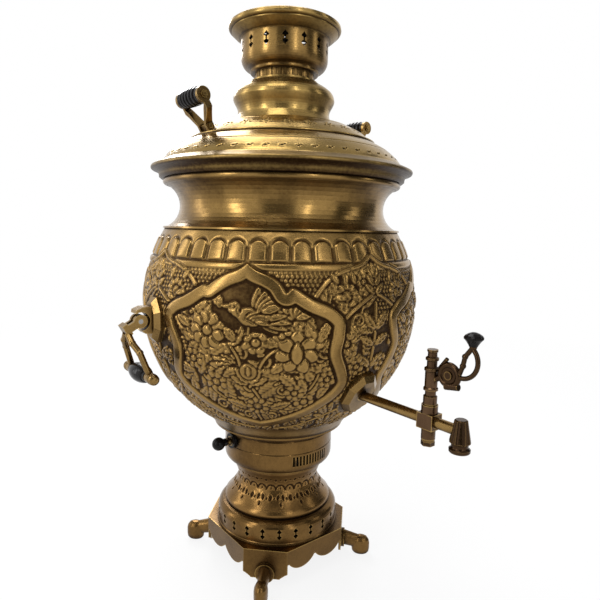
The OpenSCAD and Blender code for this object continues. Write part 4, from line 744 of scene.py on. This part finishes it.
def group_tree(name, inputs, outputs):
    tree = bpy.data.node_groups.new(name, "ShaderNodeTree")
    for label, kind, value in inputs:
        socket = tree.interface.new_socket(label, in_out="INPUT", socket_type=kind)
        socket.default_value = value
    for label, kind in outputs:
        tree.interface.new_socket(label, in_out="OUTPUT", socket_type=kind)
    return tree, node(tree, "NodeGroupInput", -900), node(tree, "NodeGroupOutput", 900)


def turning_group():
    """Fine lines that run round the axis, as a lathe and a polishing wheel leave them."""
    tree, given, out = group_tree(
        "Turning lines",
        [("Lines per metre", "NodeSocketFloat", 900.0), ("Spread", "NodeSocketFloat", 3.0)],
        [("Lines", "NodeSocketFloat"), ("Cloud", "NodeSocketFloat")])
    place = node(tree, "ShaderNodeTexCoord", -900, -300)
    split = node(tree, "ShaderNodeSeparateXYZ", -700, -300)
    flat = node(tree, "ShaderNodeCombineXYZ", -520, -200)
    radius = node(tree, "ShaderNodeVectorMath", -360, -200, operation="LENGTH")
    level = node(tree, "ShaderNodeCombineXYZ", -180, -300)
    scaled = node(tree, "ShaderNodeVectorMath", 0, -300, operation="SCALE")
    spread = node(tree, "ShaderNodeVectorMath", 0, -100, operation="SCALE")
    both = node(tree, "ShaderNodeVectorMath", 180, -200, operation="ADD")
    lines = node(tree, "ShaderNodeTexNoise", 360, -200, in_2=1.0, in_3=3.0, in_4=0.6)
    cloud = node(tree, "ShaderNodeTexNoise", 360, -500, in_2=38.0, in_3=4.0, in_4=0.55)
    wire(tree, [
        (place, "Object", split, 0), (split, 0, flat, 0), (split, 1, flat, 1), (flat, 0, radius, 0),
        (radius, "Value", level, 0), (split, 2, level, 2), (level, 0, scaled, 0),
        (given, 0, scaled, "Scale"), (place, "Object", spread, 0), (given, 1, spread, "Scale"),
        (scaled, 0, both, 0), (spread, 0, both, 1), (both, 0, lines, "Vector"),
        (place, "Object", cloud, "Vector"), (lines, 0, out, 0), (cloud, 0, out, 1),
    ])


def patina_group():
    """Brass that is bright on its heights and brown in its hollows, with a mottled tarnish, and painted
    shade: darker near other surfaces (Shelter) and on faces that turn down.
    """
    tree, given, out = group_tree(
        "Brass patina and painted shade",
        [("Bright", "NodeSocketColor", (0.27, 0.17, 0.064, 1)),
         ("Dark", "NodeSocketColor", (0.03, 0.016, 0.0065, 1)),
         ("Patina and painted light", "NodeSocketFloat", 0.0), ("Shelter", "NodeSocketFloat", 1.0),
         ("Lines", "NodeSocketFloat", 0.5),
         ("Tarnish", "NodeSocketFloat", 0.35), ("Gloss", "NodeSocketFloat", 0.26),
         ("Edge", "NodeSocketFloat", 1.0), ("Rubbed", "NodeSocketColor", (0.4, 0.25, 0.1, 1))],
        [("Color", "NodeSocketColor"), ("Roughness", "NodeSocketFloat"), ("Age", "NodeSocketFloat")])
    place = node(tree, "ShaderNodeTexCoord", -900, -400)
    mottle = node(tree, "ShaderNodeTexNoise", -700, -400, in_2=26.0, in_3=6.0, in_4=0.62)
    specks = node(tree, "ShaderNodeTexNoise", -700, -650, in_2=420.0, in_3=3.0, in_4=0.5)
    blotch = node(tree, "ShaderNodeMapRange", -500, -400, in_1=0.42, in_2=0.72, in_3=0.0, in_4=1.0)
    split = node(tree, "ShaderNodeSeparateXYZ", -700, -900)
    # painted shade: faces that turn down are darkened toward the patina colour
    below = node(tree, "ShaderNodeMapRange", -500, -900, in_1=-0.85, in_2=0.05, in_3=1.0, in_4=0.0)
    tarnish = node(tree, "ShaderNodeMath", -300, -400, operation="MULTIPLY")
    under = node(tree, "ShaderNodeMath", -300, -800, operation="MULTIPLY", in_1=0.6)
    # painted shade: near other surfaces (the Shelter input) the colour darkens toward the patina
    shade = node(tree, "ShaderNodeMapRange", -500, -100, in_1=0.4, in_2=0.97, in_3=0.75, in_4=0.0)
    worn = node(tree, "ShaderNodeMapRange", 360, 400, in_1=0.5, in_2=0.88, in_3=0.85, in_4=0.0)
    rubbed = node(tree, "ShaderNodeMix", 740, 100, data_type="RGBA")
    first = node(tree, "ShaderNodeMath", -120, -200, operation="ADD")
    second = node(tree, "ShaderNodeMath", 40, -200, operation="ADD")
    third = node(tree, "ShaderNodeMath", 200, -200, operation="ADD", use_clamp=True)
    fleck = node(tree, "ShaderNodeMapRange", -300, -620, in_1=0.35, in_2=0.75, in_3=-0.06, in_4=0.10)
    fourth = node(tree, "ShaderNodeMath", 360, -200, operation="ADD", use_clamp=True)
    mix = node(tree, "ShaderNodeMix", 560, 100, data_type="RGBA")
    streak = node(tree, "ShaderNodeMapRange", 200, -500, in_1=0.3, in_2=0.7, in_3=-0.05, in_4=0.05)
    dull = node(tree, "ShaderNodeMapRange", 420, -450, in_1=0.0, in_2=1.0, in_3=0.0, in_4=0.26)
    rough1 = node(tree, "ShaderNodeMath", 600, -350, operation="ADD")
    rough2 = node(tree, "ShaderNodeMath", 740, -350, operation="ADD", use_clamp=True)
    wire(tree, [
        (place, "Object", mottle, "Vector"), (place, "Object", specks, "Vector"),
        (place, "Normal", split, 0), (split, 2, below, 0), (mottle, 0, blotch, 0),
        (blotch, 0, tarnish, 0), (given, "Tarnish", tarnish, 1), (below, 0, under, 0),
        (given, "Shelter", shade, 0), (given, "Patina and painted light", first, 0), (shade, 0, first, 1),
        (first, 0, second, 0), (tarnish, 0, second, 1), (second, 0, third, 0), (under, 0, third, 1),
        (specks, 0, fleck, 0), (third, 0, fourth, 0), (fleck, 0, fourth, 1), (fourth, 0, mix, "Factor"),
        (given, "Bright", mix, 6), (given, "Dark", mix, 7), (given, "Edge", worn, 0),
        (worn, 0, rubbed, "Factor"), (mix, 2, rubbed, 6), (given, "Rubbed", rubbed, 7),
        (rubbed, 2, out, 0), (given, "Lines", streak, 0), (fourth, 0, dull, 0),
        (given, "Gloss", rough1, 0), (streak, 0, rough1, 1), (rough1, 0, rough2, 0), (dull, 0, rough2, 1),
        (rough2, 0, out, 1), (fourth, 0, out, 2),
    ])


def mould_group():
    """Moulded and handled plastic: faint flow, rubbed spots and dust in the seams."""
    tree, given, out = group_tree(
        "Rubbed plastic",
        [("Base", "NodeSocketColor", (0.012, 0.011, 0.011, 1)), ("Gloss", "NodeSocketFloat", 0.22),
         ("Shelter", "NodeSocketFloat", 1.0)],
        [("Color", "NodeSocketColor"), ("Roughness", "NodeSocketFloat"), ("Height", "NodeSocketFloat")])
    place = node(tree, "ShaderNodeTexCoord", -900, -300)
    flow = node(tree, "ShaderNodeTexNoise", -700, -200, in_2=90.0, in_3=3.0, in_4=0.5)
    rub = node(tree, "ShaderNodeTexNoise", -700, -450, in_2=700.0, in_3=4.0, in_4=0.6)
    lift = node(tree, "ShaderNodeMapRange", -450, -200, in_1=0.35, in_2=0.75, in_3=0.0, in_4=0.35)
    dust = node(tree, "ShaderNodeMapRange", -450, 50, in_1=0.5, in_2=0.95, in_3=0.3, in_4=0.0)
    amount = node(tree, "ShaderNodeMath", -200, -50, operation="ADD", use_clamp=True)
    mix = node(tree, "ShaderNodeMix", 200, 100, data_type="RGBA")
    mix.inputs[7].default_value = (0.022, 0.018, 0.015, 1)
    spot = node(tree, "ShaderNodeMapRange", -200, -350, in_1=0.4, in_2=0.8, in_3=-0.03, in_4=0.08)
    rough = node(tree, "ShaderNodeMath", 200, -300, operation="ADD", use_clamp=True)
    wire(tree, [
        (place, "Object", flow, "Vector"), (place, "Object", rub, "Vector"), (flow, 0, lift, 0),
        (given, "Shelter", dust, 0), (lift, 0, amount, 0), (dust, 0, amount, 1),
        (amount, 0, mix, "Factor"), (given, "Base", mix, 6), (mix, 2, out, 0), (flow, 0, spot, 0),
        (given, "Gloss", rough, 0), (spot, 0, rough, 1), (rough, 0, out, 1), (rub, 0, out, 2),
    ])


def group_node(tree, group, x, y, **values):
    made = node(tree, "ShaderNodeGroup", x, y)
    made.node_tree = group
    for key, value in values.items():
        made.inputs[key.replace("_", " ")].default_value = value
    return made


PAINTED_SHADE_REACH = 0.006  # how near a wall has to be for painted shade to darken the surface beside it
RUBBED_EDGE = 0.0012  # width of the edge that hands rub bright


def metal(name, bright, dark, gloss, tarnish, lines, relief=False, bump=0.00004, spread=3.0,
          turned=0.0, edge=None):
    """Aged metal with painted shade near other surfaces and on faces that turn down. relief reads how deep a
    point of the wall lies, as patina and painted light; edge is the colour of rubbed edges.
    """
    mat, tree, shader = new_material(name)
    shader.inputs["Metallic"].default_value = 1.0
    if turned:
        shader.inputs["Anisotropic"].default_value = turned
        shader.inputs["Anisotropic Rotation"].default_value = 0.25
    groups = bpy.data.node_groups
    lathe = group_node(tree, groups["Turning lines"], -700, -200, Lines_per_metre=lines, Spread=spread)
    aged_and_shaded = group_node(tree, groups["Brass patina and painted shade"], -350, 100, Bright=(*bright, 1), Dark=(*dark, 1),
                      Tarnish=tarnish, Gloss=gloss, Rubbed=(*(edge or bright), 1))
    # painted shade near other surfaces, in the patina's colour
    cover = node(tree, "ShaderNodeAmbientOcclusion", -700, 200, samples=6)
    cover.inputs["Distance"].default_value = PAINTED_SHADE_REACH
    wire(tree, [(cover, "AO", aged_and_shaded, "Shelter")])
    if edge:
        corner = node(tree, "ShaderNodeAmbientOcclusion", -700, 400, samples=6, inside=True)
        corner.inputs["Distance"].default_value = RUBBED_EDGE
        wire(tree, [(corner, "AO", aged_and_shaded, "Edge")])
    if relief:
        depth = node(tree, "ShaderNodeAttribute", -950, 350, attribute_name="patina_and_painted_light")
        wire(tree, [(depth, "Fac", aged_and_shaded, "Patina and painted light")])
    wire(tree, [
        (lathe, "Lines", aged_and_shaded, "Lines"), (aged_and_shaded, "Color", shader, "Base Color"),
        (aged_and_shaded, "Roughness", shader, "Roughness"),
    ])
    raised = node(tree, "ShaderNodeBump", -350, -300, in_0=0.35)
    raised.inputs["Distance"].default_value = bump
    wire(tree, [
        (lathe, "Lines", raised, "Height"), (raised, 0, shader, "Normal"),
    ])
    return mat


def plastic(name, base, gloss):
    """Moulded plastic or rubber with a low shine."""
    mat, tree, shader = new_material(name)
    shader.inputs["Specular IOR Level"].default_value = 0.12
    made = group_node(tree, bpy.data.node_groups["Rubbed plastic"], -350, 100, Base=(*base, 1), Gloss=gloss)
    cover = node(tree, "ShaderNodeAmbientOcclusion", -700, 200, samples=4)
    cover.inputs["Distance"].default_value = 0.004
    wire(tree, [
        (cover, "AO", made, "Shelter"), (made, "Color", shader, "Base Color"),
        (made, "Roughness", shader, "Roughness"),
    ])
    raised = node(tree, "ShaderNodeBump", -350, -300, in_0=0.25)
    raised.inputs["Distance"].default_value = 0.00001
    wire(tree, [
        (made, "Height", raised, "Height"), (raised, 0, shader, "Normal"),
    ])
    return mat


# the nodes that take each finish
SPUN = "tank_neck crown_cup".split()
# the lid, its dome and the crown rim take a lighter copy of the brass: painted highlight
SPUN_LIT = "lid_shell lid_dome crown_rim".split()
# the pieces low on the samovar take a darker copy of the brass: painted shade
SPUN_LOW = "gallery_ring bell_skirt burner_housing tank_collar housing_floor".split()
CAST = ("handle_bracket_left handle_bracket_right bail_left bail_right grip_rod_left grip_rod_right "
        "lid_bases lid_arms_left lid_arms_right lid_grip_bolts tap_flange tap_pipe tap_backnut hose_nozzle "
        "nozzle_nut valve_spindle gas_valve gas_injector injector_pipe inlet_pipe").split()
PLATE = ["foot_plate"]
# the feet take the darker copy too: painted shade
CAST_LOW = "foot_front_left foot_front_right foot_rear_left foot_rear_right".split()
SOOTY = "crown_plate flue_tube tank_bottom".split()
BRONZE = "tap_body tap_plug".split()
BRONZE_DARK = "tap_spout tap_key plug_washer plug_nut".split()
BLACK = "knob_bush gas_knob grip_left grip_right lid_grip_left lid_grip_right key_knob".split()
STEEL = "foot_screws tie_rods tie_nuts burner_body burner_cap bracket_screws handle_pins".split()
RUBBER = ["tap_seal"]


def dress(names, material):
    for name in names:
        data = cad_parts[name].data
        if not data.materials:
            data.materials.append(material)
        for i in range(len(data.materials)):
            data.materials[i] = material


# ---------- operators ----------
class SAMOVAR_OT_finishes(bpy.types.Operator):
    """Makes the shared effects and the finishes, and puts them on the pieces from the frame"""
    bl_idname = "samovar.finishes"
    bl_label = "Finishes"

    def execute(self, context):
        look = context.scene.samovar_finish
        turning_group()
        patina_group()
        mould_group()
        brass, dark = tuple(look.brass), tuple(look.patina)
        # low, plate and bell are darker copies of the brass for the pieces low on the samovar: painted shade
        low = tuple(0.62 * a * b for a, b in zip(brass, (1, 0.9, 0.85)))
        # pale is a lighter copy of the brass for the lid, its dome and the crown rim: painted highlight; it
        # is also the colour of rubbed edges
        pale = tuple(a * b for a, b in zip(brass, (1.6, 1.7, 1.6)))
        warm = tuple(a * b for a, b in zip(brass, (1.14, 1.12, 1.05)))
        deep = tuple(0.5 * c for c in look.bronze)
        plate = tuple(0.8 * c for c in low)
        bell = tuple(1.3 * c for c in low)
        soot = tuple(0.3 * c for c in low)
        metal("antique_brass_spun", warm, dark, 0.24, 0.45, 1400.0, spread=2.0, turned=0.75)
        metal("antique_brass_lit", pale, dark, 0.25, 0.35, 1400.0, spread=2.0, turned=0.7)
        metal("antique_brass_spun_shaded", low, dark, 0.2, 0.5, 1400.0, spread=2.0, turned=0.75, edge=brass)
        metal("antique_brass_cast", brass, dark, 0.2, 0.3, 500.0, spread=500.0, bump=0.00001, edge=pale)
        metal("antique_brass_plate", plate, dark, 0.2, 0.4, 500.0, spread=500.0, bump=0.00002, edge=pale)
        metal("antique_brass_cast_shaded", low, dark, 0.3, 0.5, 500.0, spread=500.0, bump=0.00006, edge=pale)
        metal("antique_brass_embossed", warm, dark, 0.25, 0.3, 700.0, relief=True, spread=300.0)
        # the engraved lid takes the lighter copy too: painted highlight
        metal("antique_brass_engraved", pale, dark, 0.23, 0.25, 1400.0, relief=True, spread=2.0, turned=0.5)
        metal("antique_brass_engraved_shaded", bell, dark, 0.25, 0.4, 1400.0, relief=True, spread=2.0,
              turned=0.6)
        metal("sooty_brass", soot, (0.008, 0.007, 0.006), 0.5, 0.6, 500.0, spread=500.0)
        metal("brown_bronze", tuple(look.bronze), dark, 0.22, 0.4, 500.0, spread=400.0, edge=pale)
        metal("black_bronze", deep, dark, 0.2, 0.3, 500.0, spread=400.0, edge=brass)
        metal("grey_steel", (0.42, 0.41, 0.39), (0.09, 0.08, 0.07), 0.32, 0.3, 900.0, spread=300.0)
        plastic("black_plastic", tuple(look.grip), 0.18)
        plastic("seal_rubber", (0.03, 0.028, 0.026), 0.6)
        mats = bpy.data.materials
        for names, made in (
                (SPUN, "antique_brass_spun"), (SPUN_LIT, "antique_brass_lit"),
                (SPUN_LOW, "antique_brass_spun_shaded"), (CAST, "antique_brass_cast"),
                (CAST_LOW, "antique_brass_cast_shaded"), (PLATE, "antique_brass_plate"),
                (SOOTY, "sooty_brass"), (BRONZE, "brown_bronze"), (BRONZE_DARK, "black_bronze"),
                (BLACK, "black_plastic"), (STEEL, "grey_steel"), (RUBBER, "seal_rubber")):
            dress(names, mats[made])
        return {"FINISHED"}


class SAMOVAR_OT_tank(bpy.types.Operator):
    """Embosses the tank's wall with tongues, cartouches, leaves and a punched ground"""
    bl_idname = "samovar.tank"
    bl_label = "Embossed tank"

    def execute(self, context):
        sizes = context.scene.samovar_sizes
        grain = sizes.grain / MM
        columns = int(round(TAU / 4 * BULB_R / grain))

        def outside(r, z):
            return r > wall_radius(z) - 0.5

        def fine(p):
            return CONE_TOP + 0.5 < p[1] < BULB_TOP - 0.2 and outside(*p)

        def painted_light_offset(r, z):
            # the frieze under the shoulder gets a painted highlight
            return -0.35 if z > LIT_FRIEZE_Z else 0.0

        tank = relief_shell("tank_embossed", "tank_bulb", "stand_and_tank", fine, 4, columns, grain,
                            tank_relief, scale=sizes.relief / RELIEF_UNIT, outside=outside, seats=tank_seats,
                            soften=2, painted_light_offset=painted_light_offset)
        tank.data.materials.append(bpy.data.materials["antique_brass_embossed"])
        return {"FINISHED"}


class SAMOVAR_OT_lid(bpy.types.Operator):
    """Engraves the two slopes of the lid"""
    bl_idname = "samovar.lid"
    bl_label = "Engraved lid"

    def execute(self, context):
        def fine(p):
            return LID_GRAVEN_R[0] < p[0] < LID_GRAVEN_R[1] and p[1] > LID_GRAVEN_Z

        def painted_light_offset(r, z):
            # the rim below the slopes gets painted shade
            return 0.45 if z < SHADED_RIM_Z else 0.0

        sectors = context.scene.samovar_sizes.lid_drops // DROPS_PER_SECTOR
        lid = relief_shell("lid_engraved", "lid_shell", "lid", fine, sectors, 56, 0.5, lid_relief,
                           sunk=(-0.8, -0.2), painted_light_offset=painted_light_offset, facing=(0, 1))
        lid.data.materials.append(bpy.data.materials["antique_brass_engraved"])
        return {"FINISHED"}


class SAMOVAR_OT_bell(bpy.types.Operator):
    """Engraves and punches the bell under the burner housing"""
    bl_idname = "samovar.bell"
    bl_label = "Engraved bell"

    def execute(self, context):
        groups = context.scene.samovar_sizes.bell_groups

        def fine(p):
            return BELL_GRAVEN_Z[0] < p[1] < BELL_GRAVEN_Z[1]

        bell = relief_shell("bell_engraved", "bell_skirt", "stand_and_tank", fine, groups, 52, 0.5,
                            bell_relief, sunk=(-0.6, -0.05), facing=(1, 0))
        bell.data.materials.append(bpy.data.materials["antique_brass_engraved_shaded"])
        return {"FINISHED"}


# ---------- stage, in metres ----------
LENS = 31.5  # with a 36 mm sensor
LAMP_RING = 1.35  # distance of the tall strips from the axis
CARD_RING, CARD_HIGH = 1.7, 1.9
FLOOR_R = 6
CAMERA_AT = (-0.3374, -0.4594, 0.365)
PITCH, ROLL, YAW = map(math.radians, (7.72, 1.25, 2.13))
VIEW_X = Vector((0.806, -0.592, 0)).normalized()  # to the right across the view, before yaw
VIEW_Y = Vector((0.592, 0.806, 0)).normalized()  # away from the camera


class SAMOVAR_OT_stage(bpy.types.Operator):
    """Sets the pale floor, the background, the lamps and the camera"""
    bl_idname = "samovar.stage"
    bl_label = "Stage"

    def execute(self, context):
        scene = context.scene
        scene.view_settings.view_transform = "Standard"

        def turned(x, y, z):
            return VIEW_X * x + VIEW_Y * y + Vector((0, 0, z))

        forward = turned(math.sin(YAW) * math.cos(PITCH), math.cos(YAW) * math.cos(PITCH), -math.sin(PITCH))
        right0 = turned(math.cos(YAW), -math.sin(YAW), 0)
        up0 = turned(math.sin(YAW) * math.sin(PITCH), math.cos(YAW) * math.sin(PITCH), math.cos(PITCH))
        right = right0 * math.cos(ROLL) + up0 * math.sin(ROLL)
        up = up0 * math.cos(ROLL) - right0 * math.sin(ROLL)
        data = bpy.data.cameras.new("camera")
        data.lens, data.sensor_width = LENS, 36.0
        data.clip_start, data.clip_end = 0.01, 50
        camera = link(bpy.data.objects.new("camera", data))
        m = Matrix((right, up, -forward)).transposed().to_4x4()
        m.translation = Vector(CAMERA_AT)
        camera.matrix_world = m
        scene.camera = camera

        # floor: one wide disc, white, that keeps the shadow
        ring = [(FLOOR_R * math.cos(TAU * i / 64), FLOOR_R * math.sin(TAU * i / 64), 0) for i in range(64)]
        mesh = bpy.data.meshes.new("floor")
        mesh.from_pydata(ring, [], [list(range(64))])
        floor = link(bpy.data.objects.new("floor", mesh))
        mat, tree, shader = new_material("pale_floor")
        shader.inputs["Base Color"].default_value = (0.85, 0.85, 0.84, 1)
        shader.inputs["Roughness"].default_value = 0.7
        shader.inputs["Specular IOR Level"].default_value = 0.1
        seen = seen_rays(tree, -300, 300)
        share = node(tree, "ShaderNodeMath", 0, 300, operation="MULTIPLY")
        place = node(tree, "ShaderNodeTexCoord", -700, 600)
        reach = node(tree, "ShaderNodeVectorMath", -500, 600, operation="LENGTH")
        fade = node(tree, "ShaderNodeMapRange", -300, 600, in_1=0.35, in_2=1.6, in_3=0.86, in_4=1.0)
        white = node(tree, "ShaderNodeEmission", 0, -200)
        white.inputs["Strength"].default_value = 1.0
        mix = node(tree, "ShaderNodeMixShader", 300, 0)
        wire(tree, [
            (place, "Object", reach, 0), (reach, "Value", fade, 0), (fade, 0, share, 1),
            (seen, 0, share, 0), (share, 0, mix, 0), (shader, 0, mix, 1), (white, 0, mix, 2),
            (mix, 0, tree.nodes["Material Output"], "Surface"),
        ])
        floor.data.materials.append(mat)

        world = bpy.data.worlds.new("studio")
        scene.world = world
        world.use_nodes = True
        tree = world.node_tree
        tree.nodes.clear()
        out = node(tree, "ShaderNodeOutputWorld", 600, 0)
        room = node(tree, "ShaderNodeBackground", 0, -150)
        room.inputs["Color"].default_value = (0.93, 0.95, 1.0, 1)
        room.inputs["Strength"].default_value = 0.55
        shown = node(tree, "ShaderNodeBackground", 0, 100)
        shown.inputs["Strength"].default_value = 1.0
        place = node(tree, "ShaderNodeTexCoord", -800, 100)
        split = node(tree, "ShaderNodeSeparateXYZ", -600, 100)
        ceiling = node(tree, "ShaderNodeMapRange", -400, 100, in_1=0.38, in_2=0.9, in_3=1.0, in_4=0.45)
        mix = node(tree, "ShaderNodeMixShader", 300, 0)
        seen = seen_rays(tree, -300, 400)
        wire(tree, [
            (place, "Generated", split, 0), (split, 2, ceiling, 0), (ceiling, 0, shown, "Color"),
            (seen, 0, mix, 0), (room, 0, mix, 1), (shown, 0, mix, 2), (mix, 0, out, 0),
        ])

        # tall strips round the front, each at an angle from the line of sight, and a broad lamp over the back
        lamps = []
        for name, degrees, high, wide, radiance in (
                ("lamp_left", -50, 0.85, 0.26, 5.2), ("lamp_far_left", -98, 0.7, 0.22, 3.5),
                ("lamp_front", 27, 0.9, 0.1, 5.0), ("lamp_right", 84, 0.8, 0.2, 2.0)):
            a = math.radians(degrees)
            at = (LAMP_RING * math.sin(a), -LAMP_RING * math.cos(a), high)
            lamps.append((name, at, (0, 0, 0.32), (wide, 1.1), radiance))
        lamps.append(("lamp_top", (-0.2, 0.75, 1.75), (0, 0, 0.45), (0.9, 1.2), 4.0))
        lamps.append(("lamp_back", (-0.42, 1.5, 1.3), (0, 0, 0.45), (0.9, 0.6), 9.0))
        lamps.append(("lamp_over", (-0.25, -0.55, 1.6), (0, 0, 0.32), (0.7, 0.45), 4.5))
        for name, at, aim, size, radiance in lamps:
            lamp = bpy.data.lights.new(name, "AREA")
            lamp.shape, lamp.size, lamp.size_y = "RECTANGLE", size[0], size[1]
            lamp.energy = radiance * math.pi * size[0] * size[1]
            obj = link(bpy.data.objects.new(name, lamp))
            spot, target = turned(*at), Vector(aim)
            obj.matrix_world = (target - spot).to_track_quat("-Z", "Y").to_matrix().to_4x4()
            obj.location = spot
            obj.visible_camera = False

        # grey cards on the right and behind the camera, that the metal reflects as darker bands
        for name, start, end, grey in (("card_right", 58, 122, 0.06), ("card_front", -21, 13, 0.16)):
            mesh = bpy.data.meshes.new(name)
            a, b = (turned(CARD_RING * math.sin(q), -CARD_RING * math.cos(q), 0)
                    for q in map(math.radians, (start, end)))
            rise = Vector((0, 0, CARD_HIGH))
            mesh.from_pydata([a, b, b + rise, a + rise], [], [(0, 1, 2, 3)])
            card = link(bpy.data.objects.new(name, mesh))
            card.visible_camera = card.visible_diffuse = False
            card.visible_shadow = card.visible_transmission = False
            mat, _, shader = new_material(name)
            shader.inputs["Base Color"].default_value = (grey, grey, grey, 1)
            shader.inputs["Roughness"].default_value = 0.9
            mesh.materials.append(mat)
        return {"FINISHED"}


def seen_rays(tree, x, y):
    """1 for camera, glossy and transmission rays, which show the background, and 0 for the rest."""
    path = node(tree, "ShaderNodeLightPath", x, y)
    one = node(tree, "ShaderNodeMath", x + 150, y, operation="MAXIMUM")
    two = node(tree, "ShaderNodeMath", x + 300, y, operation="MAXIMUM")
    wire(tree, [
        (path, "Is Camera Ray", one, 0), (path, "Is Glossy Ray", one, 1), (one, 0, two, 0),
        (path, "Is Transmission Ray", two, 1),
    ])
    return two


class SAMOVAR_PT_panel(bpy.types.Panel):
    """Shows the samovar's settings and the buttons of its operators"""
    bl_idname = "SAMOVAR_PT_panel"
    bl_label = "Samovar"
    bl_space_type = "VIEW_3D"
    bl_region_type = "UI"
    bl_category = "Samovar"

    def draw(self, context):
        for settings in (context.scene.samovar_finish, context.scene.samovar_sizes):
            box = self.layout.box()
            for name in type(settings).__annotations__:
                box.prop(settings, name)
        for operator in OPERATORS:
            self.layout.operator(operator.bl_idname)


OPERATORS = (SAMOVAR_OT_stage, SAMOVAR_OT_finishes, SAMOVAR_OT_tank, SAMOVAR_OT_lid, SAMOVAR_OT_bell)
CLASSES = (SamovarFinish, SamovarSizes, *OPERATORS, SAMOVAR_PT_panel)


def register():
    for cls in CLASSES:
        bpy.utils.register_class(cls)
    bpy.types.Scene.samovar_finish = bpy.props.PointerProperty(type=SamovarFinish)
    bpy.types.Scene.samovar_sizes = bpy.props.PointerProperty(type=SamovarSizes)


def unregister():
    del bpy.types.Scene.samovar_sizes
    del bpy.types.Scene.samovar_finish
    for cls in reversed(CLASSES):
        bpy.utils.unregister_class(cls)


def main():
    register()
    bpy.ops.samovar.stage()
    bpy.ops.samovar.finishes()
    bpy.ops.samovar.tank()
    bpy.ops.samovar.lid()
    bpy.ops.samovar.bell()


if __name__ == "__main__":
    main()
